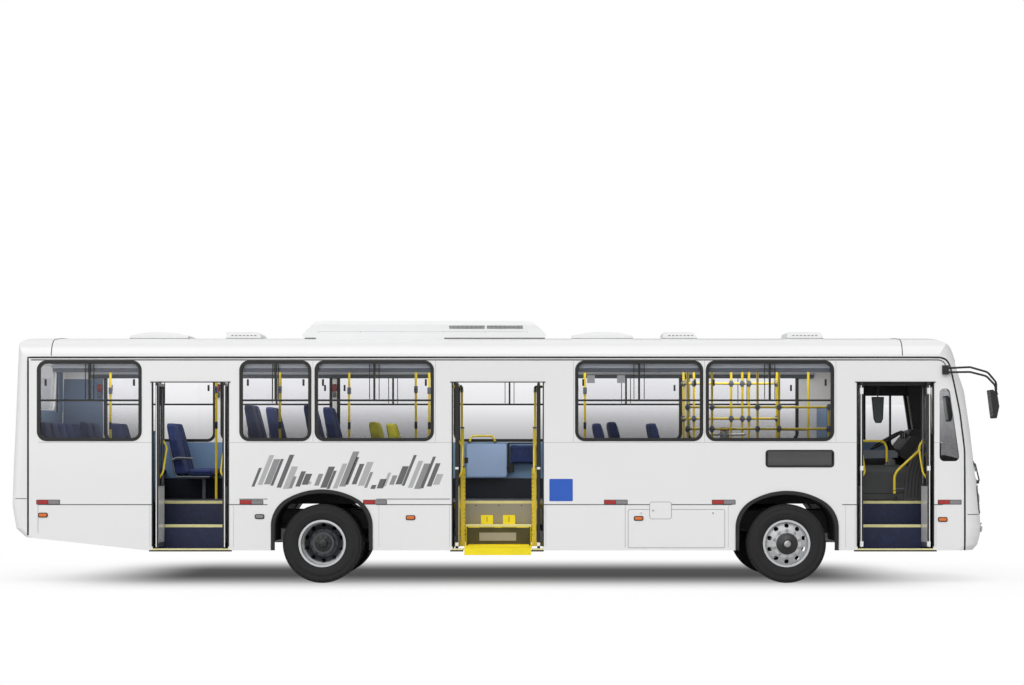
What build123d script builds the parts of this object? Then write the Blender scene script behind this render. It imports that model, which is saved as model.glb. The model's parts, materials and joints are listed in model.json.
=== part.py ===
from build123d import *
import os
from math import atan2, cos, radians, sin, sqrt

# City bus with a front engine. Millimetres, +X forward, +Y left, +Z up.
# The origin is on the ground under the middle of the bounding box.

# ---- Body ----
LENGTH = 12600.0
WIDTH = 2500.0
ROOF_Z = 3180.0
WALL = 50.0  # outer sheet, frame and inner lining together
SEAT_GAP = 0.3  # between two pieces that are bolted or laid together
SKIRT_Z = 420.0
GUTTER_Z = 2880.0
FLOOR_Z = 1030.0
FLOOR_T = 30.0
CUT_OVER = 20.0  # a cutting shape beyond what it cuts
END_CUT_X = 4000.0  # cuts for the end windows start here
OPEN_FOOT = 300.0  # the inner envelope goes on below the skirt
ROOF_CROWN_R = 10000.0
ROOF_CORNER_R = 250.0
NOSE_R = 4000.0  # nose, seen from above
NOSE_CORNER_R = 260.0
TAIL_R = 30000.0
TAIL_CORNER_R = 110.0

# Ends in side view: height, nose setback, tail setback from the overall length.
END_SECTIONS = [
    (SKIRT_Z, 100.0, 330.0),
    (480.0, 45.0, 240.0),
    (600.0, 12.0, 160.0),
    (700.0, 0.0, 50.0),
    (1000.0, 22.0, 0.0),
    (1456.0, 68.0, 15.0),
    (1937.0, 124.0, 38.0),
    (2470.0, 202.0, 60.0),
    (2938.0, 360.0, 80.0),
    (3240.0, 455.0, 95.0),
]
NOSE_TOP_RUN = 900.0  # roof edge above the windscreen starts this far back
NOSE_TOP_MID = (680.0, 60.0)  # setback from the nose and drop from the roof
NOSE_TOP_END = (296.0, 420.0)
TAIL_TOP_RUN = 300.0
TAIL_TOP_MID = (150.0, 65.0)
TAIL_TOP_END = (80.0, 220.0)
TAIL_RISE_X = -4530.0  # the skirt rises from here to the tail
TAIL_RISE = 190.0

# ---- Panel seams ----
FRONT_SEAM = [(5924.0, 0.0), (5924.0, 1700.0), (5863.0, 2190.0), (5741.0, 2790.0), (5690.0, GUTTER_Z)]
FRONT_ROOF_SEAM_X = 5150.0
REAR_SEAM_X = -6058.0
REAR_ROOF_SEAM_X = -5797.0
FRONT_BUMPER_Z = 878.0
REAR_BUMPER_Z = 1081.0

# ---- Wheels and axles ----
FRONT_AXLE_X = 3650.0
WHEELBASE = 5950.0
TYRE_D = 1010.0
TYRE_W = 275.0
TYRE_TREAD_W = 220.0
BEAD_R = 285.0
BEAD_H = 40.0
BEAD_IN = 14.0
BULGE_DEPTH = 115.0  # widest part below the tread
SHOULDER_DEPTH = 30.0
SHOULDER_OUT = 12.0
CROWN_DROP = 8.0
CROWN_IN = 30.0
RIM_T = 9.0
RIM_LIP = 18.0
RIM_HALF_W = 118.0
TRACK_EDGE = 1225.0  # outer sidewall from the middle
DUAL_SPACING = 325.0
DISC_OFFSET = 162.5
DISC_T = 12.0
DISC_FLAT = 40.0  # flat ring around the hub before the disc slopes
HUB_R = 140.0
SPINDLE_R = 45.0
RUNNING = 0.05
HAND_HOLES = 10
HAND_HOLE_D = 58.0
HAND_HOLE_PITCH_R = 228.0
KINGPIN_Y = 930.0
KINGPIN_R = 25.0

# ---- Wheel arches ----
FRONT_ARCH_HALF = 660.0
REAR_ARCH_HALF = 651.0
FRONT_ARCH_Z = 1182.0
REAR_ARCH_Z = 1200.0
ARCH_CROWN_R = 900.0
ARCH_CORNER_R = 400.0
FLARE_W = 45.0
FLARE_PROUD = 12.0
LINER_T = 8.0
LINER_Z = 540.0
LINER_Y = 580.0  # inner wall of a wheel box

# ---- Doors ----
DOOR_TOP_Z = 2575.0
DOORS = {"rear": (-4465.0, -3498.0), "middle": (-628.0, 528.0), "front": (4552.0, 5520.0)}
HINGE_INSET = 55.0
HINGE_Y = 1205.0
LEAF_EDGE = 40.0  # leaf beyond its hinge axis
PIVOT_R = 11.0
PIVOT_GAP = 0.3
LEAF_T = 35.0
LEAF_GAP = 4.0
LEAF_Z0 = 455.0
LEAF_TOP_GAP = 13.0
LEAF_STILE = 42.0
LEAF_PANEL_Z = 1250.0  # solid lower part up to here
LEAF_GLASS_T = 6.0
STEP_Z = [440.0, 730.0, FLOOR_Z]
STEP_T = 12.0
STEP_CLEAR = 8.0  # from a swinging leaf to the first riser
RISER_FROM_RAIL = 15.0  # second riser from the chassis rail

# ---- Windows ----
WINDOW_Z0 = 1816.0
WINDOW_Z1 = 2850.0
WINDOW_R = 125.0
WINDOW_FRAME = 42.0
WINDOW_BAR_Z = 2339.0
WINDOW_BAR = 24.0
WINDOW_PROUD = 6.0
GLASS_T = 8.0
GLASS_IN = 16.0  # glass behind the outer sheet
RIGHT_WINDOWS = [(-5944.0, -4603.0), (-3355.0, -2433.0), (-2393.0, -866.0), (939.0, 2578.0), (2609.0, 4253.0)]
LEFT_WINDOW_X0 = -5574.0
LEFT_WINDOW_PITCH = 1622.0
LEFT_WINDOW_W = 1560.0
LEFT_WINDOW_COUNT = 6
# Windows with a leaning front edge: rear edge, front edge at the foot and at the top, foot, top, radius
DRIVER_WINDOW = (4985.0, 5709.0, 5540.0, 1700.0, WINDOW_Z1, 110.0)
DRIVER_BAR_X = 5372.0
QUARTER_WINDOW = (5600.0, 5862.0, 5730.0, 1560.0, 2490.0, 60.0)
WINDSCREEN_HALF = 1120.0
WINDSCREEN_Z = (1330.0, 2860.0)
WINDSCREEN_R = 140.0
REAR_WINDOW_HALF = 900.0
REAR_WINDOW_Z = (2250.0, 2850.0)

GRILLE_X = (3374.0, 4253.0)
GRILLE_Z = (1481.0, 1705.0)
GRILLE_R = 45.0
GRILLE_RIM = 18.0
GRILLE_BACK = 8.0
GRILLE_SLATS = 7
GRILLE_SLAT_T = 6.0
GRILLE_SLAT_IN = 5.0  # slats behind the outer sheet

# ---- Lamps, front grille and destination sign ----
LAMP_T = 40.0
HEADLAMP_Y = (620.0, 1080.0)
HEADLAMP_Z = (900.0, 1230.0)
HEADLAMP_R = 90.0
TAIL_LAMP_Y = (960.0, 1130.0)
TAIL_LAMP_Z = (1110.0, 1500.0)
TAIL_LAMP_R = 60.0
NOSE_GRILLE_HALF = 500.0
NOSE_GRILLE_Z = (930.0, 1200.0)
NOSE_GRILLE_SLOT = 34.0
NOSE_GRILLE_SLOTS = 5
INTAKE_HALF = 560.0
INTAKE_Z = (560.0, 650.0)
BUMPER_SEAM_Y = 640.0  # the front bumper is in three lengths
SIGN_X = (5730.0, 5850.0)
SIGN_HALF = 700.0
SIGN_Z = (2560.0, 2830.0)
SIGN_HANGER_Y = 500.0
SIGN_HANGER = 40.0

# ---- Chassis ----
RAIL_Y = 430.0  # outer face of a side rail
RAIL_W = 75.0
RAIL_H = 240.0
RAIL_T = 10.0
RAIL_Z0 = 670.0
RAIL_X = (-5950.0, 5950.0)
CROSS_X = [-5900.0, -4700.0, -3600.0, -1500.0, -800.0, 800.0, 2000.0, 2950.0, 5840.0]
CROSS_T = 60.0
CROSS_Z = 120.0  # cross-members above the rails' foot
TOW_EYE_X = {1: 6140.0, -1: -5955.0}  # front and rear
TOW_EYE_R = 22.0
TOW_LUG_T = 40.0
BEARER_X = [-5600.0, -4580.0, -3450.0, -1550.0, -700.0, 600.0, 1750.0, 2900.0, 4450.0, 5620.0]
BEARER_W = 50.0

HALF = WIDTH / 2
INNER = HALF - WALL
FRONT = LENGTH / 2
REAR = -LENGTH / 2
REAR_AXLE_X = FRONT_AXLE_X - WHEELBASE
WHEEL_R = TYRE_D / 2
TYRE_Y = TRACK_EDGE - TYRE_W / 2
FLOOR_Z0 = FLOOR_Z - FLOOR_T
FAR = 9000.0
ENDS = {1: (CROSS_X[-1] + CROSS_T), -1: CROSS_X[0]}  # outer faces of the end cross-members

parts = {}


# ---- Helpers ----
def block(x0, x1, y0, y1, z0, z1):
    """Box between two corners."""
    size = (abs(x1 - x0), abs(y1 - y0), abs(z1 - z0))
    return Pos((x0 + x1) / 2, (y0 + y1) / 2, (z0 + z1) / 2) * Box(*size)


def slab(points, y0, y1):
    """Outline of (x, z) points pulled along Y."""
    face = make_face(Polyline(*[(x, y0, z) for x, z in points], close=True))
    return extrude(face, amount=y1 - y0, dir=(0, 1, 0))


def rod(start, end, radius):
    """Round bar between two points."""
    start, end = Vector(*start), Vector(*end)
    plane = Plane(origin=start, z_dir=end - start)
    return extrude(plane * Circle(radius), amount=(end - start).length)


def tube(points, radius, bend):
    """Round bar along a bent line with one bend radius."""
    path = FilletPolyline(*points, radius=bend)
    plane = Plane(origin=path @ 0, z_dir=path % 0)
    return sweep(plane * Circle(radius), path=path)


def ring(x, y0, y1, z, outer, inner=0.0):
    """Disc or ring about an axis along Y."""
    plane = Plane(origin=(x, y0, z), z_dir=(0, 1, 0))
    face = plane * Circle(outer)
    if inner:
        face = face - plane * Circle(inner)
    return extrude(face, amount=y1 - y0)


def mirrored(solid):
    """The same piece on the other side."""
    return mirror(solid, about=Plane.XZ)


def both(solid):
    """List of a piece and its mirror image."""
    return [solid, mirrored(solid)]


def crowned(half, top, crown_r, corner_r):
    """Tangent points and arc middles of a crowned outline, from its side to its middle."""
    reach = sqrt((crown_r - corner_r) ** 2 - (half - corner_r) ** 2)
    corner_v = top - crown_r + reach
    lean = atan2(half - corner_r, reach)
    mid = (radians(90) + lean) / 2
    side = (half, corner_v)
    corner_mid = (half - corner_r + corner_r * sin(mid), corner_v + corner_r * cos(mid))
    join = (crown_r * sin(lean), top - crown_r + crown_r * cos(lean))
    return side, corner_mid, join


def crowned_wire(half, top, crown_r, corner_r, foot, place):
    """Closed outline: straight foot and sides, round corners and a crowned top."""
    side, corner, join = crowned(half, top, crown_r, corner_r)
    spots = [(half, foot), side, corner, join, (0.0, top)]
    right = [place(u, v) for u, v in spots]
    left = [place(-u, v) for u, v in spots]
    return Wire([
        Edge.make_line(left[0], right[0]),
        Edge.make_line(right[0], right[1]),
        Edge.make_three_point_arc(right[1], right[2], right[3]),
        Edge.make_three_point_arc(right[3], right[4], left[3]),
        Edge.make_three_point_arc(left[3], left[2], left[1]),
        Edge.make_line(left[1], left[0]),
    ])


def rounded(x0, x1, z0, z1, radius, y0, y1):
    """Rounded rectangle in side view pulled along Y."""
    plane = Plane(origin=((x0 + x1) / 2, y0, (z0 + z1) / 2), x_dir=(1, 0, 0), z_dir=(0, -1, 0))
    return extrude(plane * RectangleRounded(x1 - x0, z1 - z0, radius), amount=y1 - y0, dir=(0, 1, 0))


def rounded_end(y_half, z0, z1, radius, x0, x1):
    """Rounded rectangle in front view pulled along X."""
    plane = Plane(origin=(x0, 0, (z0 + z1) / 2), x_dir=(0, 1, 0), z_dir=(1, 0, 0))
    return extrude(plane * RectangleRounded(2 * y_half, z1 - z0, radius), amount=x1 - x0)


def arch(x, half, top, y0, y1, foot):
    """Wheel arch outline pulled along Y."""
    wire = crowned_wire(half, top, ARCH_CROWN_R, ARCH_CORNER_R, foot, lambda u, v: (x + u, y0, v))
    return extrude(Face(wire), amount=y1 - y0, dir=(0, 1, 0))


# ---- Body envelope ----
def end_loft(setbacks, face_sign, overall, crown_r, corner_r, inset):
    """One end of the body, from ruled plan sections stacked in height."""
    wires = []
    for z, setback in setbacks:
        tip = abs(overall) - setback - inset
        wires.append(crowned_wire(
            HALF - inset, tip, crown_r - inset, corner_r - inset, 0.0,
            lambda u, v, z=z: (face_sign * v, u, z),
        ))
    return Solid.make_loft(wires, ruled=True)


def envelope(inset):
    """Outside of the body moved in by an inset."""
    foot = SKIRT_Z - (OPEN_FOOT if inset else 0.0)
    levels = [(foot if i == 0 else s[0], s[1], s[2]) for i, s in enumerate(END_SECTIONS)]
    nose = end_loft([(z, n) for z, n, t in levels], 1, FRONT, NOSE_R, NOSE_CORNER_R, inset)
    tail = end_loft([(z, t) for z, n, t in levels], -1, REAR, TAIL_R, TAIL_CORNER_R, inset)
    top = ROOF_Z - inset
    section = crowned_wire(
        HALF - inset, top, ROOF_CROWN_R - inset, ROOF_CORNER_R - inset, 0.0,
        lambda u, v: (-FAR, u, v),
    )
    roofline = extrude(Face(section), amount=2 * FAR, dir=(1, 0, 0))
    nose_x = FRONT - inset
    tail_x = REAR + inset
    lid = top + CUT_OVER
    side = Wire([
        Edge.make_line((-FAR, -FAR, 0), (FAR, -FAR, 0)),
        Edge.make_line((FAR, -FAR, 0), (FAR, -FAR, top - NOSE_TOP_END[1])),
        Edge.make_line(
            (FAR, -FAR, top - NOSE_TOP_END[1]), (nose_x - NOSE_TOP_END[0], -FAR, top - NOSE_TOP_END[1])
        ),
        Edge.make_three_point_arc(
            (nose_x - NOSE_TOP_END[0], -FAR, top - NOSE_TOP_END[1]),
            (nose_x - NOSE_TOP_MID[0], -FAR, top - NOSE_TOP_MID[1]),
            (nose_x - NOSE_TOP_RUN, -FAR, lid),
        ),
        Edge.make_line((nose_x - NOSE_TOP_RUN, -FAR, lid), (tail_x + TAIL_TOP_RUN, -FAR, lid)),
        Edge.make_three_point_arc(
            (tail_x + TAIL_TOP_RUN, -FAR, lid),
            (tail_x + TAIL_TOP_MID[0], -FAR, top - TAIL_TOP_MID[1]),
            (tail_x + TAIL_TOP_END[0], -FAR, top - TAIL_TOP_END[1]),
        ),
        Edge.make_line(
            (tail_x + TAIL_TOP_END[0], -FAR, top - TAIL_TOP_END[1]), (-FAR, -FAR, top - TAIL_TOP_END[1])
        ),
        Edge.make_line((-FAR, -FAR, top - TAIL_TOP_END[1]), (-FAR, -FAR, 0)),
    ])
    profile = extrude(Face(side), amount=2 * FAR, dir=(0, 1, 0))
    body = (nose + tail) & roofline & profile
    return body


def seam_prism(front):
    """Region ahead of the front seams, or behind the rear ones."""
    if front:
        points = [(x, z) for x, z in FRONT_SEAM]
        points += [(FRONT_ROOF_SEAM_X, GUTTER_Z), (FRONT_ROOF_SEAM_X, FAR), (FAR, FAR), (FAR, 0.0)]
    else:
        points = [(REAR_SEAM_X, 0.0), (REAR_SEAM_X, GUTTER_Z), (REAR_ROOF_SEAM_X, GUTTER_Z)]
        points += [(REAR_ROOF_SEAM_X, FAR), (-FAR, FAR), (-FAR, 0.0)]
    return slab(points, -FAR, FAR)


def tail_rise():
    """What the rising skirt leaves out under the tail."""
    points = [(TAIL_RISE_X, 0.0), (TAIL_RISE_X, SKIRT_Z), (REAR, SKIRT_Z + TAIL_RISE), (REAR, 0.0)]
    return slab(points, -FAR, FAR)


def left_windows():
    """Spans of the passenger windows on the left side."""
    starts = [LEFT_WINDOW_X0 + i * LEFT_WINDOW_PITCH for i in range(LEFT_WINDOW_COUNT)]
    return [(x, x + LEFT_WINDOW_W) for x in starts]


def leaning_window(window, inset, y0, y1):
    """Outline of a window with a leaning front edge, moved in by an inset and pulled along Y."""
    back, foot, head, z0, z1, radius = window
    lean = (foot - head) / (z1 - z0)
    edge = inset * sqrt(1.0 + lean * lean)
    corners = [
        (back + inset, z0 + inset), (foot - lean * inset - edge, z0 + inset),
        (head + lean * inset - edge, z1 - inset), (back + inset, z1 - inset),
    ]
    face = make_face(Polyline(*[(x, y0, z) for x, z in corners], close=True))
    face = fillet(face.vertices(), radius - inset)
    return extrude(face, amount=y1 - y0, dir=(0, 1, 0))


def build_body():
    """Roof, sides, end caps, bumpers and end glass, all cut from one wall."""
    outer = envelope(0.0)
    shell = outer - envelope(WALL)
    glass_skin = envelope(GLASS_IN) - envelope(GLASS_IN + GLASS_T)
    ahead = seam_prism(True)
    behind = seam_prism(False)
    above = block(-FAR, FAR, -FAR, FAR, GUTTER_Z, FAR)
    shell -= tail_rise()
    for side in (-1, 1):
        for axle_x, half, top in (
            (FRONT_AXLE_X, FRONT_ARCH_HALF, FRONT_ARCH_Z),
            (REAR_AXLE_X, REAR_ARCH_HALF, REAR_ARCH_Z),
        ):
            near, far = sorted((side * (INNER - CUT_OVER), side * FAR))
            shell -= arch(axle_x, half, top, near, far, 0.0)
    nose = shell & ahead
    tail = shell & behind
    middle = shell - ahead - behind
    screen = rounded_end(WINDSCREEN_HALF, *WINDSCREEN_Z, WINDSCREEN_R, END_CUT_X, FAR)
    back_light = rounded_end(REAR_WINDOW_HALF, *REAR_WINDOW_Z, WINDSCREEN_R, -FAR, -END_CUT_X)
    nose -= screen
    tail -= back_light
    low_nose = block(0, FAR, -FAR, FAR, 0.0, FRONT_BUMPER_Z)
    low_tail = block(-FAR, 0, -FAR, FAR, 0.0, REAR_BUMPER_Z)
    lamp_skin = outer - envelope(LAMP_T)
    for name, (ya, yb), z_span, radius, x_span in (
        ("headlamps", HEADLAMP_Y, HEADLAMP_Z, HEADLAMP_R, (0.0, FAR)),
        ("tail_lamps", TAIL_LAMP_Y, TAIL_LAMP_Z, TAIL_LAMP_R, (-FAR, 0.0)),
    ):
        lenses = []
        for side in (-1, 1):
            prism = Pos(0, side * (ya + yb) / 2, 0) * rounded_end((yb - ya) / 2, *z_span, radius, *x_span)
            lenses += list((lamp_skin & prism).solids())
            nose -= prism
            tail -= prism
        parts[name] = lenses
    slot_pitch = (NOSE_GRILLE_Z[1] - NOSE_GRILLE_Z[0] - NOSE_GRILLE_SLOT) / (NOSE_GRILLE_SLOTS - 1)
    for i in range(NOSE_GRILLE_SLOTS):
        z = NOSE_GRILLE_Z[0] + i * slot_pitch
        nose -= rounded_end(NOSE_GRILLE_HALF, z, z + NOSE_GRILLE_SLOT, NOSE_GRILLE_SLOT / 2 - 1.0, 0.0, FAR)
    low_nose_cut = rounded_end(INTAKE_HALF, *INTAKE_Z, (INTAKE_Z[1] - INTAKE_Z[0]) / 3, 0.0, FAR)
    parts["front_cap"] = nose - low_nose
    parts["rear_cap"] = tail - low_tail
    front_bumper = (nose & low_nose) - low_nose_cut
    for y in (-BUMPER_SEAM_Y, BUMPER_SEAM_Y):
        front_bumper -= block(0.0, FAR, y - SEAT_GAP / 2, y + SEAT_GAP / 2, 0.0, FAR)
    parts["bumpers"] = list(front_bumper.solids()) + [tail & low_tail]
    parts["end_windows"] = [glass_skin & screen, glass_skin & back_light]
    parts["roof"] = middle & above
    sides = middle - above
    right = sides & block(-FAR, FAR, -FAR, 0, 0, FAR)
    left = sides & block(-FAR, FAR, 0, FAR, 0, FAR)
    for x0, x1 in DOORS.values():
        right -= block(x0, x1, -FAR, -1.0, 0.0, DOOR_TOP_Z)
    frames = []
    panes = []
    spans = [(-1, s, WINDOW_Z0) for s in RIGHT_WINDOWS] + [(1, s, WINDOW_Z0) for s in left_windows()]
    for side, (x0, x1), z0 in spans:
        y0, y1 = sorted((side * INNER, side * (HALF + WINDOW_PROUD)))
        cut = rounded(x0, x1, z0, WINDOW_Z1, WINDOW_R, y0, y1)
        inner = rounded(
            x0 + WINDOW_FRAME, x1 - WINDOW_FRAME, z0 + WINDOW_FRAME, WINDOW_Z1 - WINDOW_FRAME,
            WINDOW_R - WINDOW_FRAME, y0, y1,
        )
        mid = (x0 + x1) / 2
        bars = block(x0, x1, y0, y1, WINDOW_BAR_Z - WINDOW_BAR / 2, WINDOW_BAR_Z + WINDOW_BAR / 2)
        bars += block(mid - WINDOW_BAR / 2, mid + WINDOW_BAR / 2, y0, y1, WINDOW_BAR_Z, WINDOW_Z1)
        pane_y0, pane_y1 = sorted((side * (HALF - GLASS_IN), side * (HALF - GLASS_IN - GLASS_T)))
        layer = block(x0, x1, pane_y0, pane_y1, z0, WINDOW_Z1)
        frames.append((cut - inner) + (bars & inner))
        panes += list((inner & layer - bars).solids())
        if side < 0:
            right -= cut
        else:
            left -= cut
    cut = leaning_window(DRIVER_WINDOW, 0.0, INNER, HALF + WINDOW_PROUD)
    inner = leaning_window(DRIVER_WINDOW, WINDOW_FRAME, INNER, HALF + WINDOW_PROUD)
    bar = block(DRIVER_BAR_X - WINDOW_BAR / 2, DRIVER_BAR_X + WINDOW_BAR / 2, 0.0, FAR, 0.0, FAR)
    frames.append((cut - inner) + (bar & inner))
    layer = block(0.0, FAR, HALF - GLASS_IN - GLASS_T, HALF - GLASS_IN, 0.0, FAR)
    panes += list((inner & layer - bar).solids())
    left -= cut
    hole = leaning_window(QUARTER_WINDOW, 0.0, -FAR, 4 * WALL - INNER)
    panes += list((glass_skin & hole).solids())
    right -= hole
    grille = rounded(*GRILLE_X, *GRILLE_Z, GRILLE_R, -HALF - WINDOW_PROUD, -INNER)
    right -= grille
    opening = rounded(
        GRILLE_X[0] + GRILLE_RIM, GRILLE_X[1] - GRILLE_RIM,
        GRILLE_Z[0] + GRILLE_RIM, GRILLE_Z[1] - GRILLE_RIM,
        GRILLE_R - GRILLE_RIM, -HALF - WINDOW_PROUD, -INNER - GRILLE_BACK,
    )
    grille -= opening
    slat_pitch = (GRILLE_Z[1] - GRILLE_Z[0] - 2 * GRILLE_RIM) / GRILLE_SLATS
    for i in range(1, GRILLE_SLATS):
        z = GRILLE_Z[0] + GRILLE_RIM + i * slat_pitch
        slat = block(
            *GRILLE_X, -HALF + GRILLE_SLAT_IN, -INNER - GRILLE_BACK,
            z - GRILLE_SLAT_T / 2, z + GRILLE_SLAT_T / 2,
        )
        grille += slat & opening
    frames.append(grille)
    for door_x in DOORS.values():
        for x in door_x:
            right -= block(x - SEAT_GAP / 2, x + SEAT_GAP / 2, -FAR, 0.0, 0.0, FAR)
    parts["right_side"] = list(right.solids())
    parts["left_side"] = left
    parts["window_frames"] = frames
    parts["side_glass"] = panes


def build_chassis():
    """Ladder frame in riveted lengths, and the bearers that carry the floor."""
    z0, z1 = RAIL_Z0, RAIL_Z0 + RAIL_H
    frame = []
    for side in (-1, 1):
        y_out, y_in = side * RAIL_Y, side * (RAIL_Y - RAIL_W)
        channel = block(*RAIL_X, y_out, side * (RAIL_Y - RAIL_T), z0, z1)
        channel += block(*RAIL_X, y_out, y_in, z0, z0 + RAIL_T)
        channel += block(*RAIL_X, y_out, y_in, z1 - RAIL_T, z1)
        frame.append(channel)
    web_y = RAIL_Y - RAIL_T - SEAT_GAP
    top = z1 - RAIL_T - SEAT_GAP
    lug_z = z0 + CROSS_Z
    for x in CROSS_X:
        member = block(x, x + CROSS_T, -web_y, web_y, lug_z, top)
        end = (x == CROSS_X[-1]) - (x == CROSS_X[0])
        if end:
            eye_x = TOW_EYE_X[end]
            lug = block(ENDS[end] - end * CROSS_T, eye_x + end * 2 * TOW_EYE_R, -2 * TOW_EYE_R, 2 * TOW_EYE_R,
                        lug_z - TOW_LUG_T, lug_z)
            member += lug - rod((eye_x, 0, z0), (eye_x, 0, z1), TOW_EYE_R)
        frame.append(member)
    parts["chassis_frame"] = frame
    parts["floor_bearers"] = [block(x, x + BEARER_W, -INNER, INNER, z1, FLOOR_Z0) for x in BEARER_X]


def tyre_half_section():
    """Half outline of a tyre's section as (radius, width from the middle) points."""
    seat = RIM_HALF_W - RIM_T
    return [
        (BEAD_R, seat), (BEAD_R + RIM_LIP, seat), (BEAD_R + BEAD_H, TYRE_W / 2 - BEAD_IN),
        (WHEEL_R - BULGE_DEPTH, TYRE_W / 2), (WHEEL_R - SHOULDER_DEPTH, TYRE_TREAD_W / 2 + SHOULDER_OUT),
        (WHEEL_R - CROWN_DROP, TYRE_TREAD_W / 2), (WHEEL_R, TYRE_TREAD_W / 2 - CROWN_IN),
    ]


def turned(points, x, y, side):
    """Closed section of (radius, outward offset) points turned about a wheel's axis."""
    spots = [(x, y + side * v, WHEEL_R + r) for r, v in points]
    face = make_face(Polyline(*spots, close=True))
    return revolve(face, Axis((x, 0, WHEEL_R), (0, 1, 0)), 360)


def tyre(x, y):
    """Tyre centred at x, y."""
    half = tyre_half_section()
    section = half + [(r, -v) for r, v in reversed(half)]
    return turned(section, x, y, 1)


def rim(x, y, side, disc_at, cone):
    """Rim barrel with its disc: the disc's middle lies outward by disc_at, its foot by cone."""
    inside = BEAD_R - RIM_T
    lip = BEAD_R + RIM_LIP
    edge = RIM_HALF_W
    barrel = turned([
        (BEAD_R, -edge + RIM_T), (lip, -edge + RIM_T), (lip, -edge), (inside, -edge),
        (inside, edge), (lip, edge), (lip, edge - RIM_T), (BEAD_R, edge - RIM_T),
    ], x, y, side)
    knee = HUB_R + DISC_FLAT
    weld = inside + RIM_T / 2
    disc = turned([
        (SPINDLE_R + RUNNING, disc_at), (SPINDLE_R + RUNNING, disc_at - DISC_T), (knee, disc_at - DISC_T),
        (weld, cone - DISC_T), (weld, cone), (knee, disc_at),
    ], x, y, side)
    holes = None
    for i in range(HAND_HOLES):
        a = radians(360 / HAND_HOLES * (i + 0.5))
        spot = (x + HAND_HOLE_PITCH_R * cos(a), y, WHEEL_R + HAND_HOLE_PITCH_R * sin(a))
        plane = Plane(origin=spot, z_dir=(0, 1, 0))
        hole = extrude(plane * Circle(HAND_HOLE_D / 2), amount=TYRE_W, both=True)
        holes = hole if holes is None else holes + hole
    return barrel + (disc - holes)


# ---- Axles, springs and wheels ----
BEAM_W = 90.0
BEAM_EYE_Z = (455.0, 555.0)
BEAM_LOW_Z = (380.0, 470.0)
EYE_R = 45.0
YOKE_GAP = 5.0
YOKE_T = 50.0
YOKE_IN = 55.0
BACKPLATE_R = 200.0
DRUM_R = 205.0
DRUM_T = 10.0
AXLE_TUBE_R = 70.0
DIFF_R = 200.0
DIFF_HALF_W = 140.0
SPRING_Y = (RAIL_Y + 5.0, RAIL_Y + 75.0)
SPRING_HALF = 750.0
SPRING_T = 55.0
SPRING_RISE = 110.0
HANGER_L = 50.0
HANGER_DROP = 20.0  # below the spring's eye
HANGER_TOP = 60.0  # below the rail's top
SPRING_SEAT = 10.0  # flat of the spring beyond its pad
PAD_SUNK = 20.0
KNEE_Y = (700.0, 600.0)  # where the beam starts to drop, and where it is down
BEAM_RISE_IN = 20.0
PINION_L = 150.0
TUBE_END = 30.0
SPINDLE_GAP = 5.0
YOKE_WALL = 15.0
PLATE_T = 18.0
DRUM_FACE = 60.0  # drum's closed end behind the disc
REAR_DRUM_L = 220.0
FRONT_SPRING_Z = 575.0
REAR_SPRING_Z = 605.0
FRONT_DISC_AT = 145.0
FRONT_DISC_CONE = 60.0
REAR_DISC_CONE = -70.0
FRONT_HUB_OUT = 20.0
REAR_HUB_L = 140.0
HUB_WALL = 15.0


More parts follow.
